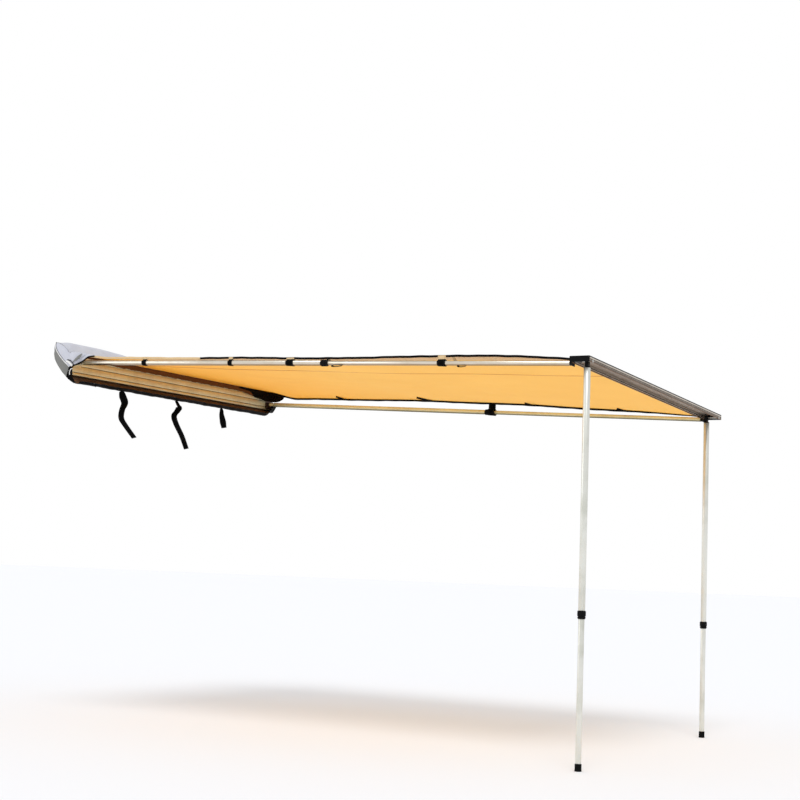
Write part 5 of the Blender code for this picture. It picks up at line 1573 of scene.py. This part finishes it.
@dataclass
class Canopy:
    """Stretched canopy with its root's lining, near facing, bindings, seam, ties and tabs."""

    layout: Layout
    shop: Workshop
    hem_heights: dict[Side, float] = field(default_factory=lambda: {Side.NEAR: 0.0115, Side.FAR: 0.014375})
    hem_hangs: dict[Side, float] = field(default_factory=lambda: {Side.NEAR: 0.0035, Side.FAR: 0.0048})
    hem_thickness: float = 0.0030
    tan_end: float = 0.86
    ring_radii: dict[Side, float] = field(default_factory=lambda: {Side.NEAR: 0.0154, Side.FAR: 0.0192})
    near_ties: tuple[tuple[float, float], ...] = ((0.451, 0.027), (1.017, 0.026), (1.388, 0.046),
                                                  (2.265, 0.043))
    far_ties: tuple[tuple[float, float], ...] = ((1.618, 0.048),)
    near_tabs: tuple[tuple[float, float], ...] = ((1.632, 0.065), (2.347, 0.049))
    far_tabs: tuple[tuple[float, float], ...] = ((0.590, 0.14), (1.222, 0.24), (1.918, 0.19), (2.479, 0.15))
    travel: float = 1.29
    cloth_length: float = 2.98
    map_length: float = 2.95
    seam_place: float = -0.48

    def follow(self, item: bpy.types.Object, along: np.ndarray) -> None:
        """Give a soft piece its own copy of its mesh.

        Args:
            item: the piece.
            along: direction of the beam's travel; not used.
        """
        reach = self.layout.beam_inner - self.layout.rail_depth
        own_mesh(item)

    @property
    def mean_along(self) -> np.ndarray:
        """Direction of the beam's travel: the mean of the two arms' slopes."""
        angle = (self.layout.slope(Side.NEAR) + self.layout.slope(Side.FAR)) / 2
        return np.array((math.cos(angle), 0.0, -math.sin(angle)))

    def sheet(self) -> bpy.types.Object:
        """The canopy itself: the layout's surface with fine puckers at the rail and at the corners.

        Returns:
            The piece.
        """
        u = np.linspace(0, 1, 260)[:, None]
        v = np.linspace(-1, 1, 150)[None, :]
        grid = self.layout.cloth(*np.broadcast_arrays(u, v))
        y = grid[..., 1]
        pucker = 0.0016 * np.exp(-u / 0.03) * (1 - np.exp(-u / 0.004)) * np.sin(y * 95 + 0.7 * np.sin(y * 31))
        corner = np.exp(-((1 - u) / 0.10) ** 2) * np.abs(v) ** 4
        pull = 0.0022 * corner * (1 - u) / 0.05 * np.sin(60 * (np.abs(v) + 0.6 * u)) * (1 - v ** 2) * 4
        long_wave = 0.0016 * np.sin(9 * np.pi * v + 2.0 * np.sin(2.1 * np.pi * u)) * np.sin(np.pi * u)
        grid[..., 2] += pucker + pull + long_wave * (1 - v ** 2)
        flat = np.stack(np.broadcast_arrays(u * self.map_length, v * self.layout.arm_side), -1)
        return self.shop.piece("canopy_cloth", open_sheet(grid, flat), CANVAS, "base", "canvas",
                               ("canopy_sheet",), 60, 0.0007)

    def facing(self) -> bpy.types.Object:
        """Doubled strip under the near edge, 110 mm wide, a little below the sheet.

        Returns:
            The piece.
        """
        u = np.linspace(0.006, 0.994, 200)[:, None]
        v = -np.linspace(0.885, 0.999, 8)[None, :]
        grid = self.layout.cloth(*np.broadcast_arrays(u, v))
        grid[..., 2] -= 0.0014
        flat = np.stack(np.broadcast_arrays(u * self.map_length, v * self.layout.arm_side), -1)
        return self.shop.piece("canopy_facing_near", open_sheet(grid, flat), FACING, "base", "canvas",
                               (), 60, 0.0006)

    def seam(self) -> bpy.types.Object:
        """Felled seam from rail to beam: a flat 12 mm tape just under the cloth, with two stitch lines.

        Returns:
            The piece.
        """
        u = np.linspace(0.004, 0.996, 220)
        path = self.layout.cloth(u, np.full(220, self.seam_place))
        path[:, 2] -= 0.0012
        skin = carried(path, ALONG, 0.012, 0.0010)
        return self.shop.piece("canopy_seam", skin, SEAM_TAPE, "base", "canvas")

    def hem(self, side: Side) -> bpy.types.Object:
        """Binding folded round one side edge: a soft-cornered band that hangs a little unevenly.

        The near one starts in the facing's tan cloth.

        Args:
            side: the edge.

        Returns:
            The piece.
        """
        u = np.linspace(0.004, 0.996, 300)
        path = self.layout.cloth(u, np.full(300, float(side.sign)))
        path[:, 1] += side.sign * (GAP + self.hem_thickness / 2)
        wave = 0.0009 * np.sin(u * 140) * np.sin(u * 37)
        path[:, 2] += wave - self.hem_hangs[side] * (1 - np.clip((u - 0.84) / 0.12, 0, 1))
        lean = 0.12 * np.sin(u * 60)
        across = np.stack((0 * u, lean, 1 + 0 * u), -1)
        skin = carried(path, across, self.hem_heights[side], self.hem_thickness, 0.48)
        item = self.shop.piece(f"canopy_binding_{side.value}", skin, BINDING, "base", "black_binding",
                               (f"canopy_hem_{side.value}",))
        if side is Side.NEAR:
            self.shop.accent(item, LOOP_TAPE, self.shop.centres(item)[:, 0] < self.tan_end)
        return item

    def tie(self, side: Side, distance: float, width: float, number: int) -> bpy.types.Object:
        """Hook and loop tie: a tape that leaves the hem, goes once round the tube and laps over itself.

        The near ties hang on loops of the facing's own cloth, and the far one goes over the arm's collar.

        Args:
            side: the arm's side.
            distance: its place along the arm.
            width: its width.
            number: its number.

        Returns:
            The piece.
        """
        origin, along = self.layout.arm_origin(side), self.layout.arm_along(side)
        place = origin + along * distance
        start_x, end_x = self.layout.rail_depth, self.layout.beam_inner
        share = (place[0] - start_x) / (end_x - start_x)
        edge = self.layout.cloth(np.array(share), np.array(float(side.sign)))
        radius = self.ring_radii[side]
        first, lap, thickness = math.radians(88), math.radians(35), 0.0016
        angle = np.linspace(first, first + 2 * math.pi + lap, 60)
        spread = radius + thickness * np.clip((angle - first - 2 * math.pi + 0.25) / 0.3, 0, 1)
        ring = np.stack((0 * angle, side.sign * spread * np.cos(angle), spread * np.sin(angle)), -1) + place
        rise = float(edge[2] - place[2])
        out = side.sign * (GAP + self.hem_thickness + 0.0008)
        lead = np.array(((0.0, out, rise), (0.0, out, rise * 0.75), (0.0, out * 0.8, radius + 0.004))) + place
        path = np.concatenate((lead, ring[2:]))
        step = np.linspace(0, 1, len(path))
        across = along + 0.05 * UP * np.sin(step[:, None] * 9)
        skin = carried(path, across, width, thickness)
        item = self.shop.piece(f"arm_tie_{side.value}_{number}", skin, HOOK_TAPE, "base", "black_webbing")
        if side is Side.NEAR:
            self.shop.accent(item, LOOP_TAPE, self.shop.centres(item)[:, 2] > place[2] + radius + thickness)
        return item

    def near_tab(self, distance: float, length: float, number: int) -> bpy.types.Object:
        """Slack tie end that leaves the near hem behind the tube and lies along under it.

        Args:
            distance: place along the arm where it shows.
            length: its stretch under the tube.
            number: its number.

        Returns:
            The piece.
        """
        origin, along = self.layout.arm_origin(Side.NEAR), self.layout.arm_along(Side.NEAR)
        place = origin + along * distance
        share = (place[0] - 0.026 - self.layout.rail_depth) / (self.layout.beam_inner - self.layout.rail_depth)
        rise = float(self.layout.cloth(np.array(share), np.array(-1.0))[2] - place[2])
        turns = np.array(((-0.028, 0.004, rise - 0.003), (-0.022, 0.015, rise * 0.6), (-0.010, 0.0185, 0.002),
                          (0.000, 0.013, -0.0125), (0.012, 0.003, -0.0175), (length * 0.6, -0.001, -0.0185),
                          (length, -0.004, -0.0172)))
        path = spline(turns, 40) + place
        turn = np.linspace(0, 1, 40)[:, None]
        across = np.array((1.0, 0.0, 0.1)) * np.clip(1 - 2.5 * turn, 0, 1) + np.array((0.0, 1.0, 0.4)) * turn
        skin = carried(path, across, 0.013, 0.0016)
        item = self.shop.piece(f"free_tab_near_{number}", skin, HOOK_TAPE, "base", "black_webbing")
        self.shop.accent(item, LOOP_TAPE, self.shop.centres(item)[:, 2] > place[2] + 0.001)
        return item

    def far_tab(self, distance: float, length: float, number: int) -> bpy.types.Object:
        """Free tab sewn to the far hem that hangs slack inwards, close under the cloth, slightly twisted.

        Args:
            distance: place along the arm.
            length: its length.
            number: its number.

        Returns:
            The piece.
        """
        t = np.linspace(0, 1, 30)
        u = (distance + 0.02 * np.sin(2.5 * t)) / self.layout.arm_length
        path = self.layout.cloth(u, 1.0 - t * length / self.layout.arm_side)
        path[:, 2] -= 0.0062 + 0.0030 * np.sin(np.pi * t)
        path[0, 1] += 0.001
        turn = (0.35 + 0.95 * np.clip(4 * t, 0, 1)) * (-1) ** number
        across = np.stack((np.cos(turn), 0 * t, np.sin(turn)), -1)
        return self.shop.piece(f"free_tab_far_{number}", carried(path, across, 0.012, 0.0018), HOOK_TAPE, "base",
                               "black_webbing")

    def root_welt(self) -> bpy.types.Object:
        """Gathered lining under the canopy's root, which hangs lower towards the far end in slack waves.

        It is brown as far as the bunch and nearly black beyond, colours that are partly painted shade.

        Returns:
            The piece.
        """
        y = np.linspace(-self.layout.arm_side + 0.002, self.layout.arm_side - 0.004, 420)
        fall = np.interp(y, (-0.965, -0.80, -0.62, 0.62, 0.70, 0.78, 0.85, 0.965),
                         (0.010, 0.014, 0.0285, 0.0290, 0.034, 0.046, 0.056, 0.058))
        ripple = 0.035 * np.sin(y * 64) + 0.025 * np.sin(y * 101 + 1.0) + 0.02 * np.sin(y * 190)
        drop = fall * (1 + ripple)
        out = 0.0016 * np.sin(y * 120 + np.sin(y * 40))
        share = np.linspace(0, 1, 12)[:, None]
        x = self.layout.rail_depth + 0.0022 + np.sqrt(share) * 0.0022 + share * np.abs(out) + 0 * y
        z = self.layout.rail_keder_height - 0.0022 - share * drop
        grid = np.stack((x, np.broadcast_to(y, x.shape), z), -1)
        flat = np.stack(np.broadcast_arrays(y[None], share * 0.03), -1)
        item = self.shop.piece("canopy_root_welt", open_sheet(grid, flat), BROWN_WELT_AND_SHADE, "base",
                               "black_binding", (), 60, 0.0012)
        middle = self.shop.centres(item)
        # Nearly black towards the far end, partly painted shade
        self.shop.accent(item, DARK_WELT_AND_SHADE, middle[:, 1] > 0.76 + 0.9 * (0.03 - middle[:, 2]))
        return item

    def bunch(self) -> bpy.types.Object:
        """Slack end of the lining, bunched at the far end: threads between an upper and a lower path.

        Returns:
            The piece.
        """
        top = np.array(((0.028, 0.62, 0.0), (0.030, 0.80, 0.0), (0.034, 0.90, 0.0), (0.050, 0.958, 0.0),
                        (0.095, 0.974, 0.045), (0.139, 0.985, 0.027)))
        out, place = top[:4, 0] - self.layout.rail_depth, top[:4, 1] / self.layout.arm_side
        top[:4, 2] = self.layout.cloth(out / 2.97, place)[:, 2] - 0.0022
        low = np.array(((0.028, 0.62, 0.044), (0.031, 0.78, 0.030), (0.038, 0.87, -0.006), (0.056, 0.935, -0.014),
                        (0.098, 0.962, -0.014), (0.132, 0.976, 0.004)))
        s = np.linspace(0, 1, 24)[:, None, None]
        t = np.linspace(0, 1, 90)[None, :, None]
        grid = spline(top, 90)[None] * (1 - s) + spline(low, 90)[None] * s
        slack = np.sin(np.pi * s) * (0.0040 * np.sin(23 * t + 5 * s) + 0.0020 * np.sin(51 * t - 6 * s))
        grid = grid + slack * np.array((0.5, -0.6, 0.2))
        flat = np.concatenate(np.broadcast_arrays(t * 0.4, s * 0.06), -1)
        item = self.shop.piece("canopy_root_bunch", open_sheet(grid, flat), DARK_WELT_AND_SHADE, "base",
                               "black_binding", (), 60, 0.0012)
        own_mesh(item)
        return item

    def build(self) -> None:
        """Build the canopy, and give its soft pieces their own meshes."""
        cloth = self.sheet()
        trim = [self.root_welt(), self.bunch(), self.facing(), self.seam()]
        hems = {side: self.hem(side) for side in Side}
        for item in (cloth, *trim[2:], *hems.values()):
            self.follow(item, self.mean_along)
        small = []
        for side, ties in ((Side.NEAR, self.near_ties), (Side.FAR, self.far_ties)):
            for number, (distance, width) in enumerate(ties, 1):
                small.append(self.tie(side, distance, width, number))
                self.follow(small[-1], self.layout.arm_along(side))
        for number, tab in enumerate(self.near_tabs, 1):
            small.append(self.near_tab(*tab, number))
            self.follow(small[-1], self.layout.arm_along(Side.NEAR))
        for number, tab in enumerate(self.far_tabs, 1):
            small.append(self.far_tab(*tab, number))
            self.follow(small[-1], self.mean_along)


# Studio


@dataclass
class Studio:
    """Pale floor, soft light and the camera of the photograph."""

    datum: np.ndarray
    ground: float
    place: tuple[float, float, float] = (5.901, -7.8828, -1.0294)
    yaw: float = 118.8981
    pitch: float = 5.7291
    roll: float = 1.9879
    lens: float = 72.405

    def camera(self) -> None:
        """Camera at the photograph's place: its axes from yaw, pitch and roll."""
        yaw, pitch, roll = (math.radians(a) for a in (self.yaw, self.pitch, self.roll))
        forward = Vector((math.cos(pitch) * math.cos(yaw), math.cos(pitch) * math.sin(yaw), math.sin(pitch)))
        right = forward.cross(Vector((0, 0, 1))).normalized()
        up = right.cross(forward)
        side = right * math.cos(roll) + up * math.sin(roll)
        top = up * math.cos(roll) - right * math.sin(roll)
        turn = Matrix((side, top, -forward)).transposed()
        data = bpy.data.cameras.new("photo_camera")
        data.lens = self.lens
        data.sensor_width = 36.0
        item = bpy.data.objects.new("photo_camera", data)
        item.matrix_world = Matrix.Translation(Vector(self.place) + Vector(self.datum)) @ turn.to_4x4()
        bpy.context.scene.collection.objects.link(item)
        bpy.context.scene.camera = item

    def world(self) -> None:
        """Even white sky: strength 1 where it is seen straight or through glass, a little less as light and in
        mirrors.
        """
        made = bpy.data.worlds.new("studio_sky")
        made.use_nodes = True
        tree = made.node_tree
        tree.nodes.clear()
        path = add_node(tree, "LightPath")
        seen = add_node(tree, "Math", {"operation": "MAXIMUM"},
                        {0: path.outputs["Is Camera Ray"], 1: path.outputs["Is Transmission Ray"]})
        lit = add_node(tree, "Background", {"Color": (0.985, 0.99, 1.0, 1.0), "Strength": 0.78})
        white = add_node(tree, "Background", {"Color": (1.0, 1.0, 1.0, 1.0), "Strength": 1.0})
        mix = add_node(tree, "MixShader", None, {0: seen.outputs[0], 1: lit.outputs[0], 2: white.outputs[0]})
        out = add_node(tree, "OutputWorld")
        tree.links.new(mix.outputs[0], out.inputs["Surface"])
        bpy.context.scene.world = made

    def lamp(self, name: str, strength: float, angle: float, toward: tuple[float, float, float]) -> None:
        """Broad soft lamp of even strength.

        Args:
            name: its name.
            strength: its light on a facing surface.
            angle: its width in degrees.
            toward: direction in which it shines.
        """
        data = bpy.data.lights.new(name, "SUN")
        data.energy = strength
        data.angle = math.radians(angle)
        item = bpy.data.objects.new(name, data)
        item.rotation_euler = Vector(toward).to_track_quat("-Z", "Y").to_euler()
        bpy.context.scene.collection.objects.link(item)

    def floor(self) -> None:
        """Pale matt floor under the feet."""
        level = float(self.ground + self.datum[2]) - 0.0004
        reach = 60.0
        corners = np.array(((-reach, -reach, level), (reach, -reach, level), (reach, reach, level),
                            (-reach, reach, level)))
        mesh = bpy.data.meshes.new("studio_floor")
        mesh.from_pydata(corners.tolist(), [], [[0, 1, 2, 3]])
        item = bpy.data.objects.new("studio_floor", mesh)
        mesh.materials.append(Finish("matt_white_floor", "#f4f5f8", 0.9).build())
        bpy.context.scene.collection.objects.link(item)

    def build(self) -> None:
        """Set up the studio."""
        self.camera()
        self.world()
        self.lamp("key_lamp", 1.05, 25.0, (-0.25, 0.55, -0.95))
        self.lamp("side_lamp", 0.40, 40.0, (0.85, 0.45, -0.25))
        self.floor()
        bpy.context.scene.view_settings.view_transform = "Standard"


def main() -> None:
    """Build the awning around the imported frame, piece by piece."""
    logging.basicConfig(level=logging.INFO, format="%(name)s: %(message)s")
    for item in list(bpy.data.objects):
        bpy.data.objects.remove(item, do_unlink=True)
    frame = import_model()
    low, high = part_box("base_rail")
    datum = np.array((low.x, 0.0, (low.z + high.z) / 2))
    layout, shop = Layout(), Workshop(frame, datum)
    Studio(datum, layout.ground).build()
    for assembly in (BaseRail, CoverBag, Arms, FrontBeam, Legs, Canopy):
        assembly(layout, shop).build()
    LOG.info("%d pieces made", len(shop.made))


if __name__ == "__main__":
    main()
